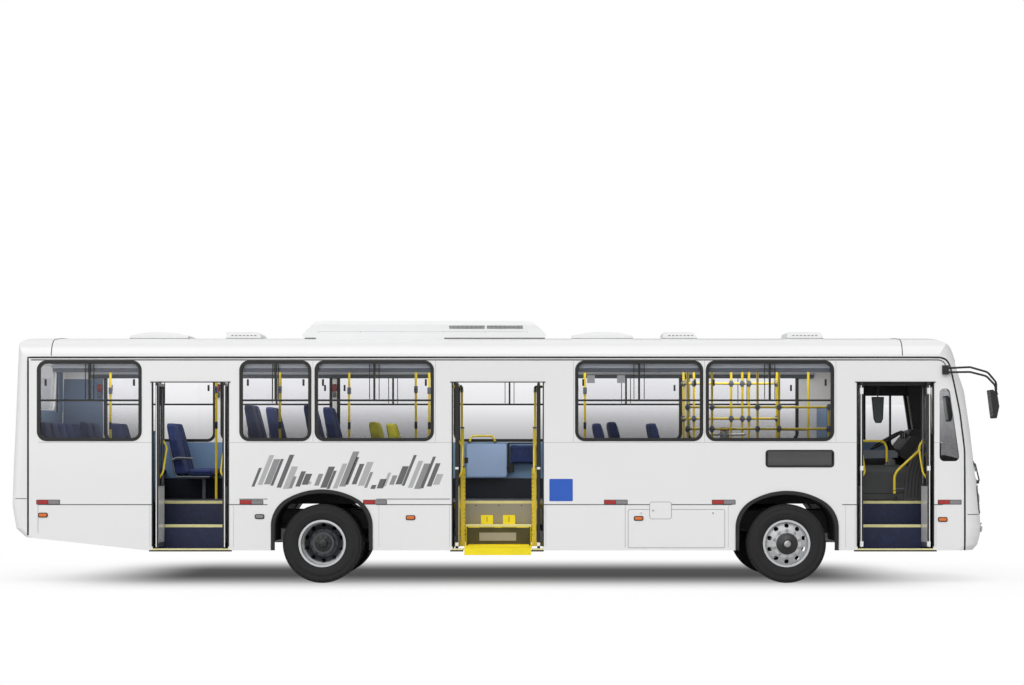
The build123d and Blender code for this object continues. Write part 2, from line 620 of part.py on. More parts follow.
def build_axles():
    """Dropped front beam, rear axle housing and four leaf springs."""
    x = FRONT_AXLE_X
    e0, e1 = BEAM_EYE_Z
    l0, l1 = BEAM_LOW_Z
    k0, k1 = KNEE_Y
    r = BEAM_RISE_IN
    outline = [
        (-KINGPIN_Y, e0), (-k0, e0), (-k1, l0), (k1, l0), (k0, e0), (KINGPIN_Y, e0),
        (KINGPIN_Y, e1), (k0 - r, e1), (k1 - r, l1), (r - k1, l1), (r - k0, e1), (-KINGPIN_Y, e1),
    ]
    face = make_face(Polyline(*[(x - BEAM_W / 2, y, z) for y, z in outline], close=True))
    beam = extrude(face, amount=BEAM_W, dir=(1, 0, 0))
    for side in (-1, 1):
        beam += rod((x, side * KINGPIN_Y, e0), (x, side * KINGPIN_Y, e1), EYE_R)
        y0, y1 = side * SPRING_Y[0], side * SPRING_Y[1]
        beam += block(x - BEAM_W, x + BEAM_W, y0, y1, l1 - PAD_SUNK, FRONT_SPRING_Z)
    for side in (-1, 1):
        beam -= rod((x, side * KINGPIN_Y, e0 - 1), (x, side * KINGPIN_Y, e1 + 1), KINGPIN_R + RUNNING)
    x = REAR_AXLE_X
    inner_plane = TYRE_Y - DISC_OFFSET
    tube_end = inner_plane - DRUM_T - TUBE_END
    housing = ring(x, -tube_end, tube_end, WHEEL_R, AXLE_TUBE_R)
    housing += ring(x, -DIFF_HALF_W, DIFF_HALF_W, WHEEL_R, DIFF_R)
    housing += rod((x, 0, WHEEL_R), (x + DIFF_R + PINION_L, 0, WHEEL_R), AXLE_TUBE_R + HUB_WALL)
    spindle_end = inner_plane + REAR_HUB_L - HUB_WALL - SPINDLE_GAP
    housing += ring(x, -spindle_end, spindle_end, WHEEL_R, SPINDLE_R)
    for side in (-1, 1):
        y0, y1 = side * SPRING_Y[0], side * SPRING_Y[1]
        housing += block(x - BEAM_W, x + BEAM_W, y0, y1, WHEEL_R, REAR_SPRING_Z)
    parts["axles"] = [beam, housing]
    springs = []
    for x, z in ((FRONT_AXLE_X, FRONT_SPRING_Z), (REAR_AXLE_X, REAR_SPRING_Z)):
        for side in (-1, 1):
            y0, y1 = sorted((side * SPRING_Y[0], side * SPRING_Y[1]))
            h, r, t = SPRING_HALF, SPRING_RISE, SPRING_T
            seat = BEAM_W + SPRING_SEAT
            wire = Wire([
                Edge.make_line((x - seat, y0, z), (x + seat, y0, z)),
                Edge.make_line((x + seat, y0, z), (x + h, y0, z + r)),
                Edge.make_line((x + h, y0, z + r), (x + h, y0, z + r + t / 2)),
                Edge.make_three_point_arc(
                    (x + h, y0, z + r + t / 2), (x, y0, z + t + SPRING_SEAT), (x - h, y0, z + r + t / 2),
                ),
                Edge.make_line((x - h, y0, z + r + t / 2), (x - h, y0, z + r)),
                Edge.make_line((x - h, y0, z + r), (x - seat, y0, z)),
            ])
            springs.append(extrude(Face(wire), amount=y1 - y0, dir=(0, 1, 0)))
            for end in (-1, 1):
                x0 = x + end * h
                parts["chassis_frame"].append(block(
                    x0, x0 + end * HANGER_L, side * (RAIL_Y + SEAT_GAP), side * SPRING_Y[1],
                    z + r - HANGER_DROP, RAIL_Z0 + RAIL_H - HANGER_TOP,
                ))
    parts["leaf_springs"] = springs


def build_wheels():
    """Front knuckles and wheels, and dual rear wheels."""
    x = FRONT_AXLE_X
    low = BEAM_EYE_Z[0] - YOKE_GAP
    high = BEAM_EYE_Z[1] + YOKE_GAP
    disc_y = TYRE_Y + FRONT_DISC_AT
    yoke_y = KINGPIN_Y + YOKE_IN
    yoke_out = yoke_y + YOKE_WALL
    plate_y = yoke_y + PLATE_T
    hub_out = disc_y + FRONT_HUB_OUT
    spindle_out = hub_out - HUB_WALL - SPINDLE_GAP
    knuckle = block(x - EYE_R, x + EYE_R, KINGPIN_Y - EYE_R, yoke_out, high, high + YOKE_T)
    knuckle += block(x - EYE_R, x + EYE_R, KINGPIN_Y - EYE_R, yoke_out, low - YOKE_T, low)
    knuckle += block(x - EYE_R, x + EYE_R, yoke_y, yoke_out, low - YOKE_T, high + YOKE_T)
    knuckle += rod((x, KINGPIN_Y, low - YOKE_T), (x, KINGPIN_Y, high + YOKE_T), KINGPIN_R)
    knuckle += ring(x, yoke_y + YOKE_GAP, spindle_out, WHEEL_R, SPINDLE_R)
    knuckle += ring(x, yoke_y + YOKE_GAP, plate_y, WHEEL_R, BACKPLATE_R)
    wheel = rim(x, TYRE_Y, 1, FRONT_DISC_AT, FRONT_DISC_CONE)
    bore = SPINDLE_R + RUNNING
    hub = ring(x, plate_y + YOKE_GAP, hub_out, WHEEL_R, HUB_R)
    hub -= ring(x, plate_y, hub_out - HUB_WALL, WHEEL_R, bore)
    drum_end = disc_y - DRUM_FACE
    drum = ring(x, plate_y + YOKE_GAP, drum_end, WHEEL_R, DRUM_R, DRUM_R - DRUM_T)
    drum += ring(x, drum_end - DRUM_T, drum_end, WHEEL_R, DRUM_R, HUB_R - DRUM_T)
    wheel = wheel + hub + drum
    for name, flip in (("left", False), ("right", True)):
        pieces = {"knuckle": knuckle, "front_rim": wheel, "front_tyre": tyre(x, TYRE_Y)}
        for piece, solid in pieces.items():
            parts[f"{piece}_{name}"] = mirrored(solid) if flip else solid
    x = REAR_AXLE_X
    plane_y = TYRE_Y - DISC_OFFSET
    inner_y = TYRE_Y - DUAL_SPACING
    offset_out = -(DISC_OFFSET - DISC_T)
    wheels = rim(x, TYRE_Y, 1, offset_out, REAR_DISC_CONE) + rim(x, inner_y, -1, offset_out, REAR_DISC_CONE)
    hub = ring(x, plane_y, plane_y + REAR_HUB_L, WHEEL_R, HUB_R)
    hub -= ring(x, plane_y - DISC_T, plane_y + REAR_HUB_L - HUB_WALL, WHEEL_R, bore)
    back = plane_y - DISC_T
    drum = ring(x, back - REAR_DRUM_L, back, WHEEL_R, DRUM_R, DRUM_R - DRUM_T)
    drum += ring(x, back - DRUM_T, back, WHEEL_R, DRUM_R, bore)
    wheels = wheels + hub + drum
    tyres = [tyre(x, TYRE_Y), tyre(x, inner_y)]
    parts["rear_rims_left"] = wheels
    parts["rear_rims_right"] = mirrored(wheels)
    parts["rear_tyres_left"] = tyres
    parts["rear_tyres_right"] = [mirrored(t) for t in tyres]


# ---- Doors and steps ----
def leaf_length(name):
    """From a leaf's hinge axis to its closing edge."""
    x0, x1 = DOORS[name]
    return (x1 - x0) / 2 - HINGE_INSET - LEAF_GAP


def riser_y(name):
    """First riser, clear of the swinging leaves, as a distance from the middle."""
    tip = sqrt(leaf_length(name) ** 2 + (LEAF_T / 2) ** 2)
    return HINGE_Y - tip - STEP_CLEAR


def build_doors():
    """Two leaves to each doorway, standing open across the sill."""
    z0, z1 = LEAF_Z0, DOOR_TOP_Z - LEAF_TOP_GAP
    for name, (x0, x1) in DOORS.items():
        reach = leaf_length(name)
        for label, axis_x in (("rear", x0 + HINGE_INSET), ("front", x1 - HINGE_INSET)):
            ya, yb = -HINGE_Y - LEAF_EDGE, -HINGE_Y + reach
            xa, xb = axis_x - LEAF_T / 2, axis_x + LEAF_T / 2
            leaf = block(xa, xb, ya, yb, z0, z1)
            s = LEAF_STILE
            light = (ya + 2 * s, yb - s, LEAF_PANEL_Z, z1 - s)
            leaf -= block(xa, xb, *light)
            pin_x = (axis_x, -HINGE_Y)
            leaf += rod((*pin_x, STEP_Z[0] + PIVOT_GAP), (*pin_x, z0 + PIVOT_R), PIVOT_R)
            leaf += rod((*pin_x, z1 - PIVOT_R), (*pin_x, DOOR_TOP_Z - PIVOT_GAP), PIVOT_R)
            g = LEAF_GLASS_T / 2
            parts[f"{name}_door_{label}_leaf"] = leaf
            parts[f"{name}_door_{label}_glass"] = block(axis_x - g, axis_x + g, *light)


def floor_boards():
    """Floor boards, parted in line with the wells, the wheel boxes and the engine hole."""
    deck = block(REAR, FRONT, -HALF, HALF, FLOOR_Z0, FLOOR_Z) & envelope(WALL)
    well_y = RAIL_Y + RISER_FROM_RAIL
    box_y = LINER_Y - LINER_T
    seam = SEAT_GAP / 2
    for y in (-box_y, -well_y, well_y, box_y):
        deck -= block(REAR, FRONT, y - seam, y + seam, FLOOR_Z0, FLOOR_Z)
    for x in ENGINE_HOLE_X:
        deck -= block(x - seam, x + seam, -well_y, well_y, FLOOR_Z0, FLOOR_Z)
    deck -= block(*ENGINE_HOLE_X, -ENGINE_HOLE_HALF, ENGINE_HOLE_HALF, FLOOR_Z0, FLOOR_Z)
    for x0, x1 in DOORS.values():
        deck -= block(x0 - STEP_T, x1 + STEP_T, -HALF, -well_y, FLOOR_Z0, FLOOR_Z)
    for x, half, top in arch_table():
        for y0, y1 in ((box_y, HALF), (-HALF, -box_y)):
            deck -= arch(x, half, top, y0, y1, 0.0)
    return list(deck.solids())


def build_floor():
    """Floor boards with the stepped wells at the doors."""
    parts["floor"] = floor_boards()
    well_y = RAIL_Y + RISER_FROM_RAIL
    wells = []
    for name, (x0, x1) in DOORS.items():
        first = riser_y(name)
        well = block(x0 - STEP_T, x0, -INNER, -well_y, STEP_Z[0] - STEP_T, FLOOR_Z)
        well += block(x1, x1 + STEP_T, -INNER, -well_y, STEP_Z[0] - STEP_T, FLOOR_Z)
        well += block(x0 - STEP_T, x1 + STEP_T, -well_y - STEP_T, -well_y, STEP_Z[1] - STEP_T, FLOOR_Z)
        if name == "middle":
            for xa, xb in ((x0, LIFT_X[0] - LIFT_GAP), (LIFT_X[1] + LIFT_GAP, x1)):
                well += block(xa, xb, -HALF, -INNER + MAST_W, STEP_Z[0] - STEP_T, STEP_Z[0])
        else:
            well += block(x0, x1, -HALF, -first, STEP_Z[0] - STEP_T, STEP_Z[0])
            well += block(x0, x1, -first, -first + STEP_T, STEP_Z[0] - STEP_T, STEP_Z[1])
            well += block(x0, x1, -first, -well_y, STEP_Z[1] - STEP_T, STEP_Z[1])
        wells.append(well)
    parts["door_steps"] = wells


def arch_table():
    """Wheel box outlines: axle x, half length and top."""
    return [
        (FRONT_AXLE_X, FRONT_ARCH_HALF - FLARE_W, FRONT_ARCH_Z - FLARE_W),
        (REAR_AXLE_X, REAR_ARCH_HALF - FLARE_W, REAR_ARCH_Z - FLARE_W),
    ]


def build_arches():
    """Arch flares with the wheel boxes behind them."""
    boxes = []
    for x, half, top in arch_table():
        y_out = HALF + FLARE_PROUD
        flare = arch(x, half + FLARE_W, top + FLARE_W, INNER, y_out, SKIRT_Z)
        flare -= arch(x, half, top, INNER - CUT_OVER, y_out + CUT_OVER, SKIRT_Z - CUT_OVER)
        liner = arch(x, half, top, LINER_Y - LINER_T, HALF - GLASS_IN, LINER_Z)
        liner -= arch(x, half - LINER_T, top - LINER_T, LINER_Y, HALF, LINER_Z - CUT_OVER)
        liner -= block(x - half, x + half, LINER_Y - 2 * LINER_T, LINER_Y, 0.0, FLOOR_Z0)
        boxes += both(flare + liner)
    parts["wheel_arches"] = boxes


# ---- Lift at the middle door ----
LIFT_HALF = 427.0
LIFT_GAP = 8.0
LIFT_DOOR_MID = (DOORS["middle"][0] + DOORS["middle"][1]) / 2
LIFT_X = (LIFT_DOOR_MID - LIFT_HALF, LIFT_DOOR_MID + LIFT_HALF)
MAST_W = 60.0
MAST_D = 70.0
MAST_FOOT_Z = 448.0
MAST_STAGES = [
    (MAST_FOOT_Z, 1495.0, MAST_W, MAST_D), (1495.0, 2005.0, 45.0, 45.0), (2005.0, 2490.0, 32.0, 32.0)
]
BEND_Z = 2530.0
BEND_R = 38.0
BEND_TUBE_R = 15.0
BEND_SIDE = 150.0  # from the mast to the bracket on the wall
SHOE_GAP = 0.3
RAMP_Z = (361.0, 475.0)
RAMP_T = 15.0
RAMP_GAP = 10.0
FLAP_X = [(-279.0, -122.0), (9.0, 166.0)]
FLAP_H = 123.0


def build_lift():
    """Two masts inside the doorway and the stepped platform that runs down them."""
    x0, x1 = DOORS["middle"]
    first = riser_y("middle")
    masts = []
    for side, wall in ((-1, x0), (1, x1)):
        edge = LIFT_X[0] if side < 0 else LIFT_X[1]
        far = edge + side * (LIFT_GAP + MAST_W)
        mast = None
        for z0, z1, width, depth in MAST_STAGES:
            stage = block(far, far - side * width, -first, -first + depth, z0, z1)
            mast = stage if mast is None else mast + stage
        for z in (MAST_FOOT_Z, FLOOR_Z0 - MAST_W):
            mast += block(far, wall, -first, -first + MAST_D, z, z + MAST_W)
        top_x, top_y = far - side * width / 2, -first + depth / 2
        mast += tube([
            (top_x, top_y, z1 - BEND_TUBE_R), (top_x, top_y, BEND_Z),
            (top_x + side * BEND_SIDE, top_y, BEND_Z), (top_x + side * BEND_SIDE, -INNER, BEND_Z),
        ], BEND_TUBE_R, BEND_R)
        masts.append(mast)
    parts["lift_masts"] = masts
    xa, xb = LIFT_X
    t = STEP_T
    low, mid = STEP_Z[0], STEP_Z[1]
    inner_y = -RAIL_Y - RISER_FROM_RAIL - t - LIFT_GAP
    ramp_y = -HALF - RAMP_T
    platform = block(xa, xb, -HALF + RAMP_T, -first, low - t, low)
    platform += block(xa, xb, ramp_y - RAMP_T - RAMP_GAP, ramp_y, *RAMP_Z)
    platform += block(xa, xb, ramp_y - RAMP_T, -HALF + 2 * RAMP_T, low - 3 * t, low - t)
    platform += block(xa, xb, -first, -first + t, low - t, mid)
    platform += block(xa, xb, -first, inner_y, mid - t, mid)
    for span in FLAP_X:
        platform += block(*span, -first + t, -first + 3 * t, mid, mid + FLAP_H)
    for side, edge in ((-1, xa), (1, xb)):
        y0 = -first + MAST_D / 4
        platform += block(edge, edge - side * t, -first, inner_y, low - t, mid)
        shoe = edge + side * (LIFT_GAP - SHOE_GAP)
        for z in (low - t, mid - 3 * t):
            platform += block(edge, shoe, y0, y0 + MAST_D / 2, z, z + 3 * t)
    parts["lift_platform"] = platform


# ---- Engine and underfloor pieces ----
ENGINE_X = (4640.0, 5380.0)
ENGINE_HALF = 300.0
ENGINE_Z = (560.0, 1400.0)
ENGINE_MOUNTS = (4800.0, 5200.0)
ENGINE_HOLE_X = (4600.0, 5400.0)
ENGINE_HOLE_HALF = 340.0
COVER_X = (4560.0, 5410.0)
COVER_HALF = 380.0
COVER_Z = 1505.0
COVER_T = 20.0
COVER_R = 110.0
GEARBOX_X0 = 4100.0
GEARBOX_HALF = 170.0
GEARBOX_Z = (600.0, 780.0)
SHAFT_R = 40.0
SHAFT_MID_X = 800.0
SHAFT_MID_Z = 690.0
SHAFT_FRONT_Z = 720.0
RADIATOR_X = (5480.0, 5560.0)
FUEL_TANK = (1500.0, 2700.0, -1150.0, -560.0, 520.0)
BATTERY_BOX = (1500.0, 2300.0, 600.0, 1150.0, 560.0)
AIR_TANK_X = (-1450.0, -500.0)
AIR_TANK_Y = (620.0, 900.0)
AIR_TANK_R = 120.0
SILENCER_X = (-100.0, 900.0)
SILENCER_Y = 638.0
SILENCER_R = 105.0
PIPE_R = 27.0
PIPE_Y = 538.0
TAILPIPE_L = 300.0
TANK_R = 60.0


def build_running_gear():
    """Engine and radiator, gearbox and shaft, tanks and exhaust."""
    engine = block(*ENGINE_X, -ENGINE_HALF, ENGINE_HALF, *ENGINE_Z)
    foot = RAIL_Z0 + RAIL_T
    web = RAIL_Y - RAIL_T
    for x in ENGINE_MOUNTS:
        engine += block(x, x + CROSS_T, -web, web, foot, foot + CROSS_T)
    radiator = block(*RADIATOR_X, -web, web, foot, RAIL_Z0 + RAIL_H - RAIL_T)
    parts["engine"] = [engine, radiator]
    gearbox = block(GEARBOX_X0, ENGINE_X[0], -GEARBOX_HALF, GEARBOX_HALF, *GEARBOX_Z)
    gearbox += block(ENGINE_X[0] - 2 * CROSS_T, ENGINE_X[0] - CROSS_T, -web, web, foot, foot + CROSS_T)
    pinion_x = REAR_AXLE_X + DIFF_R + PINION_L
    shafts = []
    for x0, z0, x1, z1 in (
        (GEARBOX_X0, SHAFT_FRONT_Z, SHAFT_MID_X + CROSS_T, SHAFT_MID_Z),
        (SHAFT_MID_X, SHAFT_MID_Z, pinion_x, WHEEL_R),
    ):
        gap = SEAT_GAP + SHAFT_R * (z0 - z1) / (x0 - x1)  # its flat ends lean
        shafts.append(rod((x0 - gap, 0.0, z0), (x1 + gap, 0.0, z1), SHAFT_R))
    wide = 2 * SHAFT_R
    foot = SHAFT_MID_Z - wide
    bearing = block(SHAFT_MID_X, SHAFT_MID_X + CROSS_T, -wide, wide, foot, RAIL_Z0 + CROSS_Z)
    parts["driveline"] = [gearbox, bearing] + shafts
    under = RAIL_Z0 + RAIL_H
    x0, x1, y0, y1, z0 = FUEL_TANK
    fuel = block(x0, x1, y0, y1, z0, under)
    fuel = fillet(fuel.edges().filter_by(Axis.X), TANK_R)
    x0, x1, y0, y1, z0 = BATTERY_BOX
    battery = block(x0, x1, y0, y1, z0, under)
    tanks = [fuel, battery]
    for y in AIR_TANK_Y:
        z = under - AIR_TANK_R - SEAT_GAP
        tanks.append(rod((AIR_TANK_X[0], y, z), (AIR_TANK_X[1], y, z), AIR_TANK_R))
    z = under - SILENCER_R - SEAT_GAP
    silencer = rod((SILENCER_X[0], SILENCER_Y, z), (SILENCER_X[1], SILENCER_Y, z), SILENCER_R)
    silencer += rod((SILENCER_X[1] - PIPE_R, PIPE_Y, z), (GEARBOX_X0, PIPE_Y, z), PIPE_R)
    end = SILENCER_X[0]
    silencer += rod((end - TAILPIPE_L, SILENCER_Y, z), (end + PIPE_R, SILENCER_Y, z), PIPE_R)
    parts["tanks_and_exhaust"] = tanks + [silencer]
    hoods = []
    for t in (0.0, COVER_T):
        hood = block(COVER_X[0] + t, COVER_X[1] - t, -COVER_HALF + t, COVER_HALF - t, FLOOR_Z, COVER_Z - t)
        hoods.append(fillet(hood.edges().group_by(Axis.Z)[-1], COVER_R - t))
    parts["engine_cover"] = hoods[0] - hoods[1]


# ---- Driver's place ----
DESK_Y = (150.0, 1120.0)
DESK_OUTLINE = [
    (5430.0, FLOOR_Z), (5430.0, 1560.0), (5330.0, 1620.0), (5330.0, 1700.0),
    (5480.0, 1890.0), (5700.0, 1930.0), (5880.0, 1800.0), (5880.0, FLOOR_Z),
]
FASCIA_OUTLINE = [(5545.0, FLOOR_Z), (5600.0, 1560.0), (5700.0, 1640.0), (5880.0, 1600.0), (5880.0, FLOOR_Z)]
FASCIA_Y = -1000.0
WHEEL_CENTRE = (5235.0, 690.0, 1840.0)
STEERING_R = 235.0
STEERING_RIM_R = 15.0
STEERING_LEAN = 30.0
STEERING_HUB_R = 60.0
STEERING_HUB_T = 25.0
SPOKE_R = 12.0
COLUMN_R = 35.0
COLUMN_L = 420.0
DRIVER_SEAT_X = 4560.0
DRIVER_SEAT_Y = 690.0
DRIVER_SEAT_HALF = 240.0
DRIVER_BASE = (230.0, 560.0, 160.0)  # from x to x behind the seat's top, half width
DRIVER_SEAT_H = 450.0
# Side outlines from the back's rear top and the floor: x, z
DRIVER_BACK = [(0.0, 1180.0), (80.0, 1180.0), (230.0, 565.0), (120.0, 450.0)]
DRIVER_CUSHION = [(230.0, 565.0), (640.0, 580.0), (680.0, 540.0), (670.0, 450.0), (120.0, 450.0)]


def build_driver_place():
    """Dashboard with its steering wheel, and the driver's seat."""
    desk = slab(DESK_OUTLINE, *DESK_Y)
    fascia = slab(FASCIA_OUTLINE, FASCIA_Y, DESK_Y[0] - SEAT_GAP)
    tilt = radians(STEERING_LEAN)
    axis = Vector(-sin(tilt), 0.0, cos(tilt))
    centre = Vector(*WHEEL_CENTRE)
    plane = Plane(origin=centre, z_dir=axis)
    wheel = plane * Torus(STEERING_R, STEERING_RIM_R)
    wheel += extrude(plane * Circle(STEERING_HUB_R), amount=STEERING_HUB_T, both=True)
    for i in range(3):
        a = radians(90 + 120 * i)
        tip = plane.from_local_coords(Vector(STEERING_R * cos(a), STEERING_R * sin(a), 0.0))
        wheel += rod(tuple(centre), tuple(tip), SPOKE_R)
    column = rod(tuple(centre), tuple(centre - axis * COLUMN_L), COLUMN_R)
    parts["dashboard"] = [desk + wheel + column, fascia]
    x, y, z = DRIVER_SEAT_X, DRIVER_SEAT_Y, FLOOR_Z
    span = (y - DRIVER_SEAT_HALF, y + DRIVER_SEAT_HALF)
    back = slab([(x + u, z + v) for u, v in DRIVER_BACK], *span)
    back = Pos(-SEAT_GAP, 0, 0) * back
    cushion = slab([(x + u, z + v) for u, v in DRIVER_CUSHION], *span)
    x0, x1, half = DRIVER_BASE
    cushion += block(x + x0, x + x1, y - half, y + half, z, z + DRIVER_SEAT_H)
    parts["driver_seat"] = [back, cushion]


# ---- Passenger seats: back's top x, side, raised on the wheel platform, priority colour ----
SEAT_ROWS = [
    (-5445.0, -1, False, False), (-3323.0, -1, True, False), (-2559.0, -1, True, False),
    (-1718.0, -1, False, True), (1359.0, -1, False, False), (-5335.0, 1, False, False),
    (-4570.0, 1, False, False), (-3230.0, 1, True, False), (-2455.0, 1, True, False),
    (-1597.0, 1, False, True), (1208.0, 1, False, False), (1954.0, 1, False, False),
]
BENCH_X = -5995.0
BENCH_PITCH = 465.0
BENCH_COUNT = 5
SEAT_W = 430.0
SEAT_WINDOW_Y = 965.0
SEAT_PITCH_Y = 450.0
SEAT_H = 320.0  # underside of a cushion above the floor
SEAT_CUSHION_T = 95.0
SEAT_DEPTH = 370.0
SEAT_NOSE_R = 40.0
BACK_FOOT_X = (150.0, 290.0)  # behind the cushion, from the back's rear top
BACK_TOP_X = 100.0
BACK_TOP_Z = 1050.0
HEADREST_Z = 800.0  # the back narrows from here
HEADREST_W = 300.0
HEADREST_R = 70.0
LEG_T = 40.0
LEG_FOOT_T = 8.0
PLATFORM_X = (-3440.0, -1640.0)
PLATFORM_Y = 350.0
PLATFORM_H = 220.0
PLATFORM_T = 20.0


def seat_pieces():
    """Back and cushion of one seat, from its back's rear top above the floor and its own middle."""
    half = SEAT_W / 2
    foot0, foot1 = BACK_FOOT_X
    back = slab([(0.0, BACK_TOP_Z), (BACK_TOP_X, BACK_TOP_Z), (foot1, SEAT_H), (foot0, SEAT_H)], -half, half)
    outline = [(-half, 0.0), (half, 0.0), (half, HEADREST_Z), (HEADREST_W / 2, BACK_TOP_Z),
               (-HEADREST_W / 2, BACK_TOP_Z), (-half, HEADREST_Z)]
    face = make_face(Polyline(*[(0.0, y, z) for y, z in outline], close=True))
    face = fillet(face.vertices().group_by(Axis.Z)[-1], HEADREST_R)
    back &= extrude(face, amount=BACK_FOOT_X[1], dir=(1, 0, 0))
    x0 = foot1 + SEAT_GAP
    top = SEAT_H + SEAT_CUSHION_T
    cushion = block(x0, x0 + SEAT_DEPTH, -half, half, SEAT_H, top)
    front = cushion.edges().filter_by(Axis.Y).group_by(Axis.X)[-1]
    cushion = fillet(front, SEAT_NOSE_R)
    return back, cushion


def seat_stand(x, ys, z, wall_y=None):
    """Cross tube under a row of seats with one leg at the aisle."""
    xa = x + BACK_FOOT_X[1] + SEAT_DEPTH / 2
    y0, y1 = min(ys) - SEAT_W / 4, max(ys) + SEAT_W / 4
    if wall_y is not None:
        y0, y1 = min(y0, wall_y), max(y1, wall_y)
    stand = block(xa, xa + LEG_T, y0, y1, z + SEAT_H - LEG_T, z + SEAT_H)
    leg_y = min(ys, key=abs)
    stand += block(xa, xa + LEG_T, leg_y - LEG_T / 2, leg_y + LEG_T / 2, z, z + SEAT_H - LEG_T)
    stand += block(xa - 2 * LEG_T, xa + 3 * LEG_T, leg_y - LEG_T, leg_y + LEG_T, z, z + LEG_FOOT_T)
    side = (leg_y - LEG_T / 2, leg_y + LEG_T / 2)
    stand += block(x + BACK_FOOT_X[0], xa, *side, z + SEAT_H - LEG_T, z + SEAT_H)
    return stand


def build_seats():
    """Pairs of seats in rows, the rear bench and the raised floor over the rear wheels."""
    back, cushion = seat_pieces()
    spots = []  # x, y, floor height, priority colour
    stands = []
    for x, side, raised, priority in SEAT_ROWS:
        z = FLOOR_Z + (PLATFORM_H if raised else 0.0)
        ys = [side * SEAT_WINDOW_Y, side * (SEAT_WINDOW_Y - SEAT_PITCH_Y)]
        spots += [(x, y, z, priority) for y in ys]
        stands.append(seat_stand(x, ys, z, side * INNER))
    bench = [(i - (BENCH_COUNT - 1) / 2) * BENCH_PITCH for i in range(BENCH_COUNT)]
    spots += [(BENCH_X, y, FLOOR_Z, False) for y in bench]
    stands.append(seat_stand(BENCH_X, bench, FLOOR_Z))
    for name, colour in (("blue_seats", False), ("yellow_seats", True)):
        parts[name] = []
        for x, y, z, priority in spots:
            if priority == colour:
                parts[name] += [Pos(x, y, z) * back, Pos(x, y, z) * cushion]
    parts["seat_stands"] = stands
    x0, x1 = PLATFORM_X
    t = PLATFORM_T
    for side in (-1, 1):
        box = block(x0, x1, side * PLATFORM_Y, side * INNER, FLOOR_Z + SEAT_GAP, FLOOR_Z + PLATFORM_H)
        box -= block(x0 + t, x1 - t, side * (PLATFORM_Y + t), side * INNER, FLOOR_Z, FLOOR_Z + PLATFORM_H - t)
        parts["floor"].append(box)


# ---- Handrails, turnstile and screens ----
TUBE_R = 16.0
CEILING_RAIL_Z = 2790.0
CEILING_RAIL_Y = 275.0
CEILING_RAIL_X = (-5500.0, 2300.0)
RAIL_HANGER_X = [-5300.0, -3793.0, -1900.0, 0.0, 2100.0]
# Floor posts under the ceiling rails: x, side, on the raised platform
POSTS = [
    (-5300.0, 1, False), (-3793.0, -1, False), (-2950.0, -1, True), (-2080.0, 1, True),
    (-1150.0, -1, False), (-1000.0, 1, False), (900.0, -1, False), (1100.0, 1, False),
]
CAGE_NEAR_Y = -520.0
CAGE_FAR_Y = 275.0
CAGE_NEAR_X = [2430.0, 2750.0, 3347.0, 3629.0]
CAGE_FAR_X = [2430.0, 2570.0, 3073.0, 3222.0, 3313.0, 3690.0, 4114.0]
CAGE_NEAR_Z = [1980.0, 2266.0]
CAGE_FAR_Z = [2127.0, 2600.0]
CAGE_NEAR_END = 4300.0
CAGE_CROSS_X = [2430.0, 3629.0]
TURNSTILE = (2950.0, -130.0)
TURNSTILE_R = 350.0
TURNSTILE_Z = (1750.0, 1950.0)
TURNSTILE_ARM_Z = (1790.0, 1910.0)
TURNSTILE_HUB_R = 60.0
TURNSTILE_GAP = 5.0
TURNSTILE_CAP = 55.0
ARM_R = 14.0


def ceiling_z(y):
    """Underside of the roof at a distance from the middle."""
    radius = ROOF_CROWN_R - WALL
    return ROOF_Z - WALL - radius + sqrt(radius**2 - y**2)


def post(x, y, foot, top, rail_levels=()):
    """Upright tube in lengths that stop just short of the rails it meets."""
    reach = TUBE_R + SEAT_GAP
    ends = [foot]
    for z in sorted(rail_levels):
        ends += [z - reach, z + reach]
    ends.append(top)
    pairs = zip(ends[::2], ends[1::2])
    return [rod((x, y, a), (x, y, b), TUBE_R) for a, b in pairs if b - a > TUBE_R]


